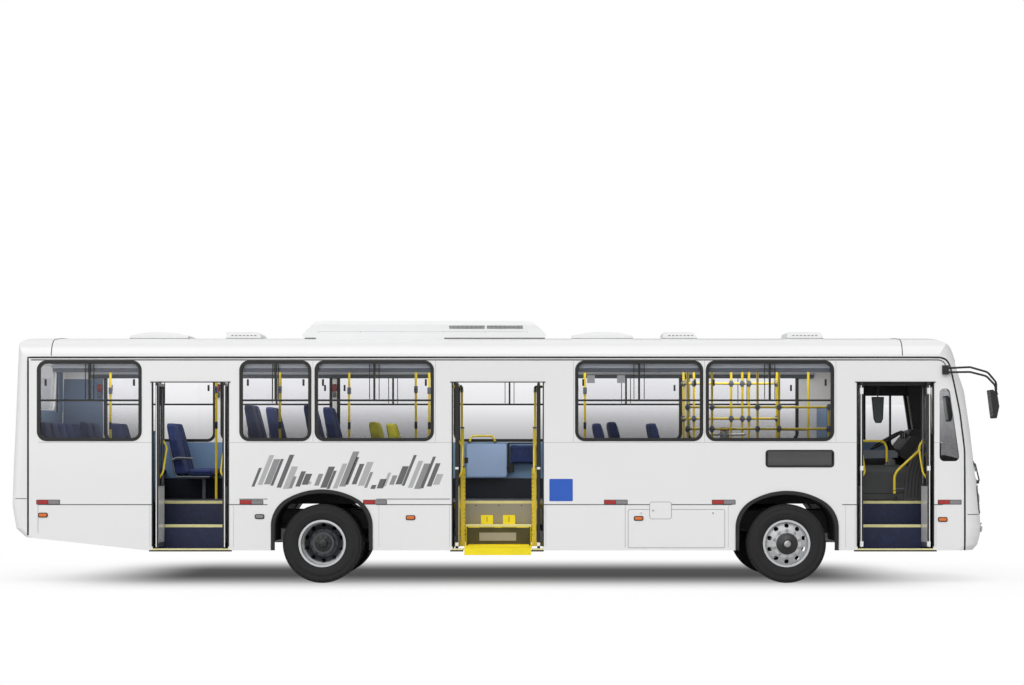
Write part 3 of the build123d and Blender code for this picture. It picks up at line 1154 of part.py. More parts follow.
def build_handrails():
    """Ceiling rails with their posts, and the cage around the turnstile."""
    reach = TUBE_R + SEAT_GAP
    rails = []
    for side in (-1, 1):
        y = side * CEILING_RAIL_Y
        ends = [(x, y, CEILING_RAIL_Z) for x in CEILING_RAIL_X]
        rails.append(rod(*ends, TUBE_R))
        top = ceiling_z(abs(y) + TUBE_R) - SEAT_GAP
        for x in RAIL_HANGER_X:
            rails += post(x, y, CEILING_RAIL_Z + reach, top)
        for x, post_side, raised in POSTS:
            if post_side == side:
                rails += post(x, y, FLOOR_Z + (PLATFORM_H if raised else 0.0), CEILING_RAIL_Z - reach)
    near_top = ceiling_z(abs(CAGE_NEAR_Y) + TUBE_R) - SEAT_GAP
    far_top = ceiling_z(CAGE_FAR_Y + TUBE_R) - SEAT_GAP
    for x in CAGE_NEAR_X:
        rails += post(x, CAGE_NEAR_Y, FLOOR_Z, near_top, CAGE_NEAR_Z)
    rails += post(CAGE_NEAR_END - TUBE_R, CAGE_NEAR_Y, FLOOR_Z, CAGE_NEAR_Z[1] - reach, CAGE_NEAR_Z[:1])
    for z in CAGE_NEAR_Z:
        rails.append(rod((CAGE_NEAR_X[0], CAGE_NEAR_Y, z), (CAGE_NEAR_END, CAGE_NEAR_Y, z), TUBE_R))
    for x in CAGE_FAR_X[:-1]:
        rails += post(x, CAGE_FAR_Y, FLOOR_Z, far_top, CAGE_FAR_Z)
    rails += post(CAGE_FAR_X[-1], CAGE_FAR_Y, FLOOR_Z, far_top)
    for z in CAGE_FAR_Z:
        rails.append(rod((CAGE_FAR_X[0], CAGE_FAR_Y, z), (CAGE_FAR_X[-2], CAGE_FAR_Y, z), TUBE_R))
        for x in CAGE_CROSS_X:
            rails.append(rod((x, CAGE_NEAR_Y + reach, z), (x, CAGE_FAR_Y - reach, z), TUBE_R))
    gate = [(x, CAGE_FAR_Y, CAGE_NEAR_Z[0]) for x in (CAGE_FAR_X[-2] + reach, CAGE_FAR_X[-1] - reach)]
    rails.append(rod(*gate, TUBE_R))
    parts["handrails"] = rails
    x, y = TURNSTILE
    z0, z1 = TURNSTILE_Z
    stand = rod((x, y, FLOOR_Z), (x, y, z0 - TURNSTILE_GAP), TURNSTILE_HUB_R)
    stand += rod((x, y, z0 - TURNSTILE_GAP), (x, y, z1 + TURNSTILE_GAP), TUBE_R)
    stand += rod((x, y, z1 + TURNSTILE_GAP), (x, y, z1 + TURNSTILE_CAP), TURNSTILE_HUB_R)
    parts["turnstile_stand"] = stand
    rotor = rod((x, y, z0), (x, y, z1), TURNSTILE_HUB_R)
    for z in TURNSTILE_ARM_Z:
        for a in (45, 135, 225, 315):
            tip = (x + TURNSTILE_R * cos(radians(a)), y + TURNSTILE_R * sin(radians(a)), z)
            rotor += rod((x, y, z), tip, ARM_R)
    rotor -= rod((x, y, z0 - TURNSTILE_GAP), (x, y, z1 + TURNSTILE_GAP), TUBE_R + RUNNING)
    parts["turnstile_arms"] = rotor


# Boards along the left wall: x from, x to, inner face y, z from, z to
BACKREST = (-530.0, 40.0, 1120.0, 1320.0, 1800.0)
FLIP_SEAT = (70.0, 470.0, 1080.0, 1500.0, 1790.0)
BOARD_R = 30.0
DRIVER_SCREEN_X = 4345.0
SCREEN_T = 30.0
DRIVER_SCREEN_Y = (250.0, INNER)
DRIVER_SCREEN_Z = 2300.0
DOOR_SCREEN_Z = 1950.0
DOOR_SCREEN_Y = 700.0


def board(x0, x1, y, z0, z1):
    """Rounded board standing off the left wall."""
    return rounded(x0, x1, z0, z1, BOARD_R, y, INNER)


def build_screens():
    """Backrest at the wheelchair place, folded seat and the low screens beside the doors."""
    screens = [board(*BACKREST)]
    x = DRIVER_SCREEN_X
    screens.append(block(x, x + SCREEN_T, *DRIVER_SCREEN_Y, FLOOR_Z, DRIVER_SCREEN_Z))
    for x in (DOORS["rear"][0] - 2 * SCREEN_T, DOORS["front"][0] - 2 * SCREEN_T - STEP_T):
        screens.append(block(x, x + SCREEN_T, -INNER, -DOOR_SCREEN_Y, FLOOR_Z, DOOR_SCREEN_Z))
    parts["screens"] = screens
    parts["blue_seats"].append(board(*FLIP_SEAT))
    sign = block(*SIGN_X, -SIGN_HALF, SIGN_HALF, *SIGN_Z)
    for side in (-1, 1):
        y = side * SIGN_HANGER_Y
        sign += block(SIGN_X[0], SIGN_X[0] + SIGN_HANGER, y, y + SIGN_HANGER, SIGN_Z[1], ROOF_Z)
    parts["destination_sign"] = sign & envelope(WALL)


# ---- Roof equipment and mirrors ----
AC_X = (-2587.0, 567.0)
AC_FOOT_Z = ROOF_Z - 120.0
AC_EDGE_Z = 3205.0
AC_TOP_Z = 3378.0
AC_SLOPE = 180.0
AC_TOP_R = (40.0, 130.0)  # rear and front
AC_HALF = 880.0
AC_CHAMFER = 50.0
AC_GRILLES = [(-684.0, -226.0), (-195.0, 269.0)]
AC_GRILLE_Z = (3272.0, 3316.0)
AC_RECESS = 12.0
FAN_X = [-2100.0, -1480.0, -600.0, 0.0]
FAN_Y = 400.0
FAN_R = 235.0
FAN_DEPTH = 35.0
FAN_HUB_R = 70.0
DOMES = [(-4924.0, -4157.0), (916.0, 1722.0)]
DOME_EDGE_Z = 3215.0
DOME_TOP_Z = 3262.0
VENTS = [(-3655.0, -3192.0), (2118.0, 2567.0), (3756.0, 4231.0)]
VENT_TOP_Z = 3262.0
VENT_R = (20.0, 75.0)  # rear and front
HATCH_HALF = 330.0
HATCH_FOOT_Z = ROOF_Z - 60.0
MIRROR_ARM = [(5690.0, -1240.0, 2750.0), (5960.0, -1400.0, 2758.0), (6165.0, -1490.0, 2690.0),
              (6272.0, -1500.0, 2560.0), (6272.0, -1500.0, 2330.0)]
MIRROR_STAY = [(5690.0, -1240.0, 2698.0), (5960.0, -1400.0, 2696.0), (6150.0, -1490.0, 2640.0),
               (6262.0, -1500.0, 2520.0), (6266.0, -1500.0, 2400.0)]
MIRROR_ARM_R = 13.0
MIRROR_ARM_BEND = 90.0
MIRROR_HEAD = [(6174.0, 2463.0), (6212.0, 2466.0), (6266.0, 2388.0), (6288.0, 2254.0), (6256.0, 2103.0),
               (6220.0, 2103.0)]
MIRROR_HEAD_W = 230.0
MIRROR_HEAD_R = 14.0
MIRROR_FOOT = (5632.0, 5712.0, -HALF - 40.0, -HALF + 60.0, 2668.0, 2786.0)


def rounded_profile(points, radii, y0, y1):
    """Outline of (x, z) points with the corners in a {number: radius} table rounded, pulled along Y."""
    face = make_face(Polyline(*[(x, y0, z) for x, z in points], close=True))
    for number, radius in radii.items():
        x, z = points[number]
        corner = face.vertices().sort_by_distance((x, y0, z))[0]
        face = fillet(corner, radius)
    return extrude(face, amount=y1 - y0, dir=(0, 1, 0))


def build_air_conditioner():
    """Roof unit with its side grilles and fan wells."""
    (x0, x1), foot, edge, top = AC_X, AC_FOOT_Z, AC_EDGE_Z, AC_TOP_Z
    outline = [(x0, foot), (x0, edge), (x0 + AC_SLOPE, top), (x1 - AC_SLOPE, top), (x1, edge), (x1, foot)]
    unit = rounded_profile(outline, {2: AC_TOP_R[0], 3: AC_TOP_R[1]}, -AC_HALF, AC_HALF)
    for side in (-1, 1):
        corner = (x0, side * AC_HALF, top)
        inward = (x0, side * (AC_HALF - AC_CHAMFER), top)
        wedge = make_face(Polyline(corner, inward, (x0, side * AC_HALF, top - AC_CHAMFER), close=True))
        unit -= extrude(wedge, amount=x1 - x0, dir=(1, 0, 0))
        for xa, xb in AC_GRILLES:
            unit -= block(xa, xb, side * (AC_HALF - AC_RECESS), side * FAR, *AC_GRILLE_Z)
        for x in FAN_X:
            y = side * FAN_Y
            well = rod((x, y, top - FAN_DEPTH), (x, y, top + FAN_DEPTH), FAN_R)
            unit -= well - rod((x, y, top - FAN_DEPTH), (x, y, top), FAN_HUB_R)
    return unit


def build_exterior():
    """Air conditioner, hatches and vents on the roof, and the mirrors."""
    outer = envelope(0.0)
    parts["air_conditioner"] = build_air_conditioner() - outer
    hatches = []
    for x0, x1 in DOMES:
        mid = (x0 + x1) / 2
        y = -HATCH_HALF
        corners = [(x0, y, DOME_EDGE_Z), (x0, y, HATCH_FOOT_Z), (x1, y, HATCH_FOOT_Z), (x1, y, DOME_EDGE_Z)]
        lines = [Edge.make_line(a, b) for a, b in zip(corners, corners[1:])]
        wire = Wire(lines + [Edge.make_three_point_arc(corners[-1], (mid, y, DOME_TOP_Z), corners[0])])
        hatches.append(extrude(Face(wire), amount=2 * HATCH_HALF, dir=(0, 1, 0)) - outer)
    for x0, x1 in VENTS:
        outline = [(x0, HATCH_FOOT_Z), (x0, VENT_TOP_Z), (x1, VENT_TOP_Z), (x1, HATCH_FOOT_Z)]
        radii = dict(zip((1, 2), VENT_R))
        hatches.append(rounded_profile(outline, radii, -HATCH_HALF, HATCH_HALF) - outer)
    parts["roof_hatches"] = hatches
    arm = tube(MIRROR_ARM, MIRROR_ARM_R, MIRROR_ARM_BEND) + tube(MIRROR_STAY, MIRROR_ARM_R, MIRROR_ARM_BEND)
    middle = MIRROR_ARM[-1][1]
    corners = dict.fromkeys(range(len(MIRROR_HEAD)), MIRROR_HEAD_R)
    head = rounded_profile(MIRROR_HEAD, corners, middle - MIRROR_HEAD_W / 2, middle + MIRROR_HEAD_W / 2)
    parts["mirrors"] = both((arm + block(*MIRROR_FOOT) - outer) + head)


def write_parts():
    """One STEP file for each sub-part."""
    os.makedirs("parts", exist_ok=True)
    for name, shape in parts.items():
        solids = []
        for piece in (shape if isinstance(shape, list) else [shape]):
            solids += list(piece.solids())
        export_step(Compound(children=solids), f"parts/{name}.step")


build_body()
build_arches()
build_chassis()
build_axles()
build_wheels()
build_doors()
build_floor()
build_seats()
build_lift()
build_running_gear()
build_driver_place()
build_handrails()
build_screens()
build_exterior()
write_parts()
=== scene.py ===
# %% [markdown]
# # City bus
# The bus is built in two halves. Its panels, frame, wheels and doors were drawn at real size in a CAD
# program, and they arrive here as fixed meshes. This notebook gives them their finish, and adds what a
# CAD model leaves plain: tread, rubber seals, padding, lamps, bolts and painted stripes.
# Everything is in metres. +X points to the bus's nose, +Y to its left and +Z up.

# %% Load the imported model
import json
import math

import bmesh
import bpy
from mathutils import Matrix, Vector
from mathutils.bvhtree import BVHTree


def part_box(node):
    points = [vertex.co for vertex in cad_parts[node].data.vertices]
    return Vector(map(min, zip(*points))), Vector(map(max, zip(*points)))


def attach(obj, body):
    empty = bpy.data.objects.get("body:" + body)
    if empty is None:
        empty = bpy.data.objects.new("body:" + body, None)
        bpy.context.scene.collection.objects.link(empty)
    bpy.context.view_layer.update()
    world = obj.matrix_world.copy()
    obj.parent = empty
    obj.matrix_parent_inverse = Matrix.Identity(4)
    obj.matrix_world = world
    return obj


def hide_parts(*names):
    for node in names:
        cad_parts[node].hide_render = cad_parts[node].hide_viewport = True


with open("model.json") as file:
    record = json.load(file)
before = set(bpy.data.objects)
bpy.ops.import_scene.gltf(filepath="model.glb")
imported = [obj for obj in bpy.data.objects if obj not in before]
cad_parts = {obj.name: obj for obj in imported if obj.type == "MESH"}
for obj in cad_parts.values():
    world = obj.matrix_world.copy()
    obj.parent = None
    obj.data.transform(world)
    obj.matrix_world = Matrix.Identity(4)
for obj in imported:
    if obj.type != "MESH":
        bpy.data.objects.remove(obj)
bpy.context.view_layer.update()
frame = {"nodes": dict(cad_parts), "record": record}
nodes = frame["nodes"]

# %% [markdown]
# ## The camera
# A long lens from far away keeps a vehicle's proportions honest. The lens looks straight across the bus,
# level, at a man's eye height, and the frame is shifted up a little instead of tilting the camera, so the
# door posts stay upright. This is how an architect's camera works too.

# %% Camera
EYE = Vector((0.427, -29.05, 1.69))
LENS = 76.42

camera_data = bpy.data.cameras.new("camera")
camera = bpy.data.objects.new("camera", camera_data)
bpy.context.scene.collection.objects.link(camera)
camera.location = EYE
camera.rotation_euler = (math.radians(90), 0, 0)
camera_data.lens = LENS
camera_data.sensor_width = 36.0
camera_data.shift_x = -0.0225
camera_data.shift_y = 0.106
camera_data.clip_end = 500.0
bpy.context.scene.camera = camera
print("camera", tuple(round(v, 2) for v in EYE), "lens", LENS, "mm")

# %% [markdown]
# ## The studio
# A white vehicle on white is lit by one very large soft lamp overhead and an even white surround, so
# that its shape shows by gentle shading and not by hard shadows. The floor is a wide white sheet. Near the
# bus it keeps part of the lamps' real shadow, and a soft band of painted shadow is laid into its colour
# under and behind the bus. Beyond it the world itself is white to the camera.

# %% Floor, world and lamps
FLOOR_SIZE = 400.0
FLOOR_LIFT = 0.02
# Painted shadow: a soft grey band is laid into the floor's colour under and behind the bus, and its sizes,
# middle and grey are set below. Near the bus, EVEN_SHARE of what the camera sees of the floor is this painted
# shadow alone and unlit. The rest is the painted shadow under the lamps' real shadow.
EVEN_SHARE = 0.7  # share of the floor that the lamps' own shadow does not reach
NEAR_X, NEAR_Y = (6.2, 9.5), (1.6, 5.5)  # the floor takes the lamps' shadow within these, and none beyond
PAINTED_SHADOW_X, PAINTED_SHADOW_Y = (4.1, 6.0), (0.5, 4.1)  # half sizes of the soft band of shade, where it starts and ends
PAINTED_SHADOW_MIDDLE = (-0.05, 1.15)
# Grey of the painted shadow at its darkest middle
PAINTED_SHADOW_GREY = 0.085
FLOOR_GREY = (0.62, 0.62, 0.62)  # as a reflector that lights the object from below
SURROUND = 0.60

scene = bpy.context.scene
scene.view_settings.view_transform = "Standard"


def shader_tree(material):
    """A material's or world's empty node tree."""
    material.use_nodes = True
    material.node_tree.nodes.clear()
    return material.node_tree


def node(tree, kind, inputs, **settings):
    """New shader node. Each input is a plain value or another node's output socket."""
    made = tree.nodes.new("ShaderNode" + kind)
    for name, value in settings.items():
        setattr(made, name, value)
    for socket, value in inputs.items():
        if isinstance(value, bpy.types.NodeSocket):
            tree.links.new(value, made.inputs[socket])
        else:
            made.inputs[socket].default_value = value
    return made


def maths(tree, operation, *values):
    """Result of a sum on values or sockets."""
    return node(tree, "Math", dict(enumerate(values)), operation=operation).outputs[0]


def mixed(tree, share, low, high):
    """Shader that goes from low to high by a share."""
    return node(tree, "MixShader", {"Fac": share, 1: low.outputs[0], 2: high.outputs[0]})


def seen_plainly(tree):
    """1 for what the camera sees, also through glass, and 0 for light that falls on other things."""
    rays = node(tree, "LightPath", {})
    return maths(tree, "MAXIMUM", rays.outputs["Is Camera Ray"], rays.outputs["Is Transmission Ray"])


def place_on_axes(tree):
    """The object's own X, Y and Z at each point."""
    place = node(tree, "TexCoord", {})
    return node(tree, "SeparateXYZ", {0: place.outputs["Object"]}).outputs


def blend_colours(tree, factor, stops):
    """Colour ramp of (position, colour) stops."""
    ramp = node(tree, "ValToRGB", {0: factor})
    while len(ramp.color_ramp.elements) < len(stops):
        ramp.color_ramp.elements.new(0.5)
    for element, (position, colour) in zip(ramp.color_ramp.elements, stops):
        element.position = position
        element.color = (*colour, 1.0)
    return ramp.outputs[0]


def smooth_band(tree, value, inner, outer, middle=0.0):
    """1 within inner of the middle, 0 beyond outer, smooth between."""
    reach = maths(tree, "ABSOLUTE", maths(tree, "SUBTRACT", value, middle))
    ends = {"Value": reach, "From Min": inner, "From Max": outer, "To Min": 1.0, "To Max": 0.0}
    return node(tree, "MapRange", ends, interpolation_type="SMOOTHSTEP").outputs[0]


def smooth_patch(tree, sizes, middle=(0.0, 0.0)):
    """Soft-edged patch of the floor, from its (inner, outer) half sizes on X and Y."""
    place = place_on_axes(tree)
    bands = [smooth_band(tree, place[k], *sizes[k], middle[k]) for k in (0, 1)]
    return maths(tree, "MULTIPLY", *bands)


def build_floor():
    """White sheet with a soft band of painted shadow under the object, part of the lamps' real shadow near
    it, and plain white further off.
    """
    mesh = bpy.data.meshes.new("floor")
    h = FLOOR_SIZE / 2
    mesh.from_pydata([(-h, -h, 0), (h, -h, 0), (h, h, 0), (-h, h, 0)], [], [(0, 1, 2, 3)])
    sheet = bpy.data.objects.new("studio_floor", mesh)
    scene.collection.objects.link(sheet)
    material = bpy.data.materials.new("studio_white")
    tree = shader_tree(material)
    near = smooth_patch(tree, (NEAR_X, NEAR_Y))
    # Painted shadow: a soft band keyed to place on the floor, darkest at its middle, which tints both the lit
    # and the unlit floor
    under = smooth_patch(tree, (PAINTED_SHADOW_X, PAINTED_SHADOW_Y), PAINTED_SHADOW_MIDDLE)
    shade = blend_colours(tree, under, [(0.0, (1.0, 1.0, 1.0)), (1.0, (PAINTED_SHADOW_GREY,) * 3)])
    lit = node(tree, "BsdfDiffuse", {"Color": shade})
    plain = node(tree, "Emission", {"Color": shade})
    even = mixed(tree, EVEN_SHARE, lit, plain)
    lift = node(tree, "Emission", {"Strength": FLOOR_LIFT})
    lifted = node(tree, "AddShader", {0: even.outputs[0], 1: lift.outputs[0]})
    dull = node(tree, "BsdfDiffuse", {"Color": (*FLOOR_GREY, 1.0)})
    shown = mixed(tree, seen_plainly(tree), dull, mixed(tree, near, plain, lifted))
    node(tree, "OutputMaterial", {"Surface": shown.outputs[0]})
    mesh.materials.append(material)


def build_world():
    """White to the camera, and softer as a lamp."""
    world = bpy.data.worlds.new("studio")
    scene.world = world
    tree = shader_tree(world)
    lamp = node(tree, "Background", {"Strength": SURROUND})
    plain = node(tree, "Background", {"Strength": 1.0, "Color": (1.0, 1.0, 1.0, 1.0)})
    shown = mixed(tree, seen_plainly(tree), lamp, plain)
    node(tree, "OutputWorld", {"Surface": shown.outputs[0]})


def sun(name, strength, tilt, turn, spread):
    """Soft distant lamp: tilt from overhead and turn about the vertical, in degrees."""
    data = bpy.data.lights.new(name, "SUN")
    data.energy = strength
    data.angle = math.radians(spread)
    lamp = bpy.data.objects.new(name, data)
    scene.collection.objects.link(lamp)
    lamp.rotation_euler = (math.radians(tilt), 0, math.radians(turn))


def cabin_lamp(name, x, energy):
    """Wide soft lamp under the ceiling, unseen itself."""
    data = bpy.data.lights.new(name, "AREA")
    data.shape = "RECTANGLE"
    data.size, data.size_y = 3.6, 1.2
    data.energy = energy
    lamp = bpy.data.objects.new(name, data)
    scene.collection.objects.link(lamp)
    lamp.location = (x, 0, 2.95)
    lamp.visible_camera = False


build_floor()
build_world()
sun("overhead_key", 0.85, 38, 12, 55)
sun("side_fill", 1.08, 62, -30, 70)
sun("far_fill", 0.35, 50, 195, 70)
for number, x in enumerate((-4.2, -0.2, 3.6), 1):
    cabin_lamp(f"cabin_{number}", x, 42)
print("floor", FLOOR_SIZE, "m wide, three soft lamps outside and three inside")

# %% [markdown]
# ## Finishes
# Every finish is built from nodes, not pictures. Each starts as a Principled shader, takes a slight
# mottling from noise so that no surface is one dead colour, and a bump for its grain. The noise is read in
# the object's own metres, so a grain keeps its size on a large and on a small piece. The few helpers
# here keep each recipe to a handful of lines.

# %% Helpers for finishes
COAT_ROUGH = 0.06
finishes = {}


def start_finish(name, rough, metal=0.0, coat=0.0, sheen=0.0):
    """New material with a Principled shader and the object's own coordinates."""
    material = bpy.data.materials.new(name)
    tree = shader_tree(material)
    looks = {"Roughness": rough, "Metallic": metal, "Coat Weight": coat, "Coat Roughness": COAT_ROUGH}
    body = node(tree, "BsdfPrincipled", {**looks, "Sheen Weight": sheen})
    node(tree, "OutputMaterial", {"Surface": body.outputs[0]})
    finishes[name] = material
    return tree, body, node(tree, "TexCoord", {}).outputs["Object"]


def speckle(tree, place, size, detail=4.0, stretch=(1, 1, 1)):
    """Noise whose lumps are about size metres across."""
    scale = node(tree, "Mapping", {"Vector": place, "Scale": [s / size for s in stretch]})
    noise = node(tree, "TexNoise", {"Vector": scale.outputs[0], "Scale": 1.0, "Detail": detail})
    return noise.outputs["Fac"]


def emboss(tree, body, height, depth, strength=1.0):
    """Bump of a height pattern, depth in metres."""
    bump = node(tree, "Bump", {"Height": height, "Strength": strength, "Distance": depth})
    tree.links.new(bump.outputs[0], body.inputs["Normal"])


def vary_roughness(tree, body, factor, low, high):
    """Roughness between two values by a pattern."""
    spread = node(tree, "MapRange", {"Value": factor, "To Min": low, "To Max": high})
    tree.links.new(spread.outputs[0], body.inputs["Roughness"])


def mottled(name, colour, rough, grain, depth, metal=0.0, coat=0.0, sheen=0.0, spread=0.08, blotch=0.35):
    """The common recipe: a colour that drifts a little, and a fine grain."""
    tree, body, place = start_finish(name, rough, metal, coat, sheen)
    drift = speckle(tree, place, blotch, 3.0)
    dark = tuple(c * (1 - spread) for c in colour)
    light = tuple(min(1.0, c * (1 + spread)) for c in colour)
    tree.links.new(blend_colours(tree, drift, [(0.3, dark), (0.7, light)]), body.inputs["Base Color"])
    fine = speckle(tree, place, grain, 3.0)
    emboss(tree, body, fine, depth)
    vary_roughness(tree, body, fine, rough * 0.85, min(1.0, rough * 1.15))
    return finishes[name]


print("helpers ready")

# %% [markdown]
# ### Paint, plastic and metal
# The body is gloss white over a slightly wavy skin: a clear coat gives the sharp highlight, and a
# broad, very shallow bump gives the wave. Moulded parts are duller. Chassis black is a thick satin paint,
# castings are rough, and the grab rails are yellow powder coat, which has a fine pebbled skin.

# %% Opaque finishes
mottled("white_paint", (0.84, 0.84, 0.84), 0.30, 0.9, 0.0012, coat=0.6, spread=0.012, blotch=2.5)
mottled("white_plastic", (0.86, 0.865, 0.87), 0.42, 0.02, 0.0002, spread=0.02, blotch=1.2)
mottled("chassis_black", (0.018, 0.018, 0.02), 0.5, 0.03, 0.0006, spread=0.25)
mottled("dark_steel", (0.06, 0.058, 0.056), 0.6, 0.008, 0.0008, metal=0.6, spread=0.3)
mottled("engine_metal", (0.12, 0.12, 0.118), 0.65, 0.02, 0.002, metal=0.5, spread=0.3)
mottled("tank_steel", (0.03, 0.03, 0.032), 0.45, 0.05, 0.0005, spread=0.2)
mottled("black_plastic", (0.014, 0.014, 0.015), 0.5, 0.0016, 0.0003, spread=0.2)
mottled("grey_cover", (0.055, 0.057, 0.06), 0.62, 0.0018, 0.0004, spread=0.15)
mottled("black_rubber", (0.012, 0.012, 0.012), 0.62, 0.004, 0.0004, spread=0.25)
mottled("black_frame", (0.016, 0.016, 0.015), 0.38, 0.01, 0.0001, metal=0.2, spread=0.15)
mottled("door_frame", (0.34, 0.35, 0.355), 0.35, 0.003, 0.0001, metal=0.8, spread=0.06)
mottled("yellow_tube", (0.80, 0.60, 0.02), 0.33, 0.0025, 0.0001, coat=0.3, spread=0.05, blotch=0.2)
mottled("yellow_lift", (0.94, 0.76, 0.0), 0.45, 0.004, 0.0002, spread=0.05, blotch=0.2)
mottled("seat_grey", (0.13, 0.145, 0.165), 0.45, 0.003, 0.0002, spread=0.08)
mottled("clamp_grey", (0.11, 0.125, 0.15), 0.5, 0.002, 0.0002, spread=0.1)
mottled("turnstile_steel", (0.55, 0.55, 0.54), 0.28, 0.004, 0.0001, metal=1.0, spread=0.05)
mottled("turnstile_red", (0.25, 0.012, 0.015), 0.35, 0.004, 0.0001, coat=0.4, spread=0.1)
mottled("light_blue_panel", (0.17, 0.28, 0.46), 0.5, 0.003, 0.0002, spread=0.05, blotch=0.5)
mottled("navy_steps", (0.008, 0.014, 0.055), 0.55, 0.006, 0.0008, spread=0.3, blotch=0.05)
mottled("skirting_navy", (0.003, 0.005, 0.016), 0.5, 0.006, 0.0004, spread=0.3, blotch=0.1)
mottled("pale_lining", (0.50, 0.53, 0.57), 0.55, 0.003, 0.0002, spread=0.03)
mottled("blue_lining", (0.14, 0.20, 0.30), 0.6, 0.003, 0.0002, spread=0.05)
mottled("backrest_blue", (0.34, 0.46, 0.72), 0.5, 0.003, 0.0002, spread=0.04, blotch=0.3)
mottled("mirror_dark", (0.06, 0.08, 0.075), 0.2, 0.3, 0.0, spread=0.1)
mottled("pale_yellow_edge", (0.80, 0.74, 0.36), 0.5, 0.004, 0.0003, spread=0.06, blotch=0.1)
mottled("bright_trim", (0.66, 0.67, 0.68), 0.25, 0.01, 0.0001, metal=0.9, spread=0.04)
# Dark olive: painted shade of the yellow lift, laid as a sheet on its riser
mottled("painted_shade_olive", (0.06, 0.05, 0.008), 0.5, 0.01, 0.0003, spread=0.15)
mottled("riser_grey", (0.33, 0.31, 0.27), 0.55, 0.004, 0.0002, spread=0.05)
mottled("sign_blue", (0.012, 0.10, 0.52), 0.35, 0.02, 0.0001, coat=0.3, spread=0.03)
mottled("stripe_grey", (0.12, 0.12, 0.125), 0.4, 0.03, 0.0001, coat=0.3, spread=0.04)
mottled("stripe_mid", (0.27, 0.27, 0.275), 0.4, 0.03, 0.0001, coat=0.3, spread=0.04)
mottled("stripe_pale", (0.45, 0.45, 0.455), 0.4, 0.03, 0.0001, coat=0.3, spread=0.04)
print(len(finishes), "finishes")

# %% [markdown]
# ### Glass and lamps
# Bus glass is lightly smoked. A real refracting shader would hide the cabin in darkness, because light
# would have to be traced through two curved surfaces. Each pane is a see-through tint under a sharp
# reflection instead. The tint deepens towards the foot of each pane: that is painted shade, standing in for
# the dimmer lower cabin seen through the glass. Lamp lenses are coloured plastic with fine ribs as a bump.

# %% Glass and lamp finishes
SMEAR = {"To Min": 0.02, "To Max": 0.07}  # roughness of clean and of smeared glass
GLASS_IOR = 1.45


def tinted(name, stops, shine=0.5):
    """See-through tint that changes with height by (height, grey) stops, under a mirror-like coat."""
    material = bpy.data.materials.new(name)
    tree = shader_tree(material)
    (foot, _), (head, _) = stops[0], stops[-1]
    height = {"Value": place_on_axes(tree)["Z"], "From Min": foot, "From Max": head}
    share = node(tree, "MapRange", height).outputs[0]
    ramp = blend_colours(tree, share, [((z - foot) / (head - foot), (g, g, g * 1.01)) for z, g in stops])
    tint = node(tree, "BsdfTransparent", {"Color": ramp})
    place = node(tree, "TexCoord", {}).outputs["Object"]
    smear = node(tree, "MapRange", {"Value": speckle(tree, place, 0.4, 2.0), **SMEAR})
    gloss = node(tree, "BsdfGlossy", {"Roughness": smear.outputs[0]})
    angle = node(tree, "Fresnel", {"IOR": GLASS_IOR})
    pane = mixed(tree, maths(tree, "MULTIPLY", angle.outputs[0], shine), tint, gloss)
    node(tree, "OutputMaterial", {"Surface": pane.outputs[0]})
    material.surface_render_method = "BLENDED"
    finishes[name] = material


def ribbed_lens(name, colour, cover, pitch):
    """Coloured lens with upright ribs a pitch apart."""
    tree, body, place = start_finish(name, 0.12, coat=0.8)
    body.inputs["Base Color"].default_value = (*colour, 1)
    body.inputs["Alpha"].default_value = cover
    wave = node(tree, "TexWave", {"Vector": place, "Scale": 0.314 / pitch})
    emboss(tree, body, wave.outputs["Fac"], 0.002, 0.6)


# The smoke tint darkens towards the foot of each pane as painted shade for the dim lower cabin seen through,
# and clears towards its top
tinted("clear_glass", [(1.2, 0.84), (2.6, 0.90)])
tinted("tinted_glass", [(1.82, 0.66), (2.335, 0.95), (2.337, 0.91), (2.86, 0.99)])
mottled("mirror_glass", (0.62, 0.64, 0.65), 0.05, 0.5, 0.0, metal=1.0, spread=0.02)
ribbed_lens("lamp_clear", (0.72, 0.74, 0.77), 0.55, 0.012)
ribbed_lens("lamp_red", (0.42, 0.012, 0.012), 1.0, 0.006)
ribbed_lens("lamp_amber", (0.80, 0.17, 0.01), 1.0, 0.006)
ribbed_lens("reflector_grey", (0.25, 0.24, 0.25), 1.0, 0.006)
print("glass and lamps:", sorted(n for n in finishes if "glass" in n or "lamp" in n))

# %% [markdown]
# ### Tyres and wheels
# Tyre rubber is nearly black and dull, a little greyer where it is worn, with rings moulded round the
# sidewall. The steel wheels are sprayed silver. Both are read by their distance from the wheel's axis, so
# the rings come out as true circles: each wheel gets its own small offset in the node tree for that.

# %% Tyre and wheel finishes
def ringed(name, colour, rough, ring_pitch, depth, centre):
    """Finish with fine rings about a wheel axis that runs along Y through centre."""
    tree, body, place = start_finish(name, rough)
    shift = node(tree, "VectorMath", {0: place, 1: centre}, operation="SUBTRACT")
    flat = node(tree, "VectorMath", {0: shift.outputs[0], 1: (1, 0, 1)}, operation="MULTIPLY")
    reach = node(tree, "VectorMath", {0: flat.outputs[0]}, operation="LENGTH").outputs["Value"]
    sine = maths(tree, "SINE", maths(tree, "MULTIPLY", reach, 2 * math.pi / ring_pitch))
    drift = speckle(tree, place, 0.12, 4.0)
    dark = tuple(c * 0.75 for c in colour)
    light = tuple(c * 1.3 for c in colour)
    tree.links.new(blend_colours(tree, drift, [(0.3, dark), (0.75, light)]), body.inputs["Base Color"])
    emboss(tree, body, sine, depth, 0.5)
    vary_roughness(tree, body, drift, rough * 0.9, min(1.0, rough * 1.15))
    return finishes[name]


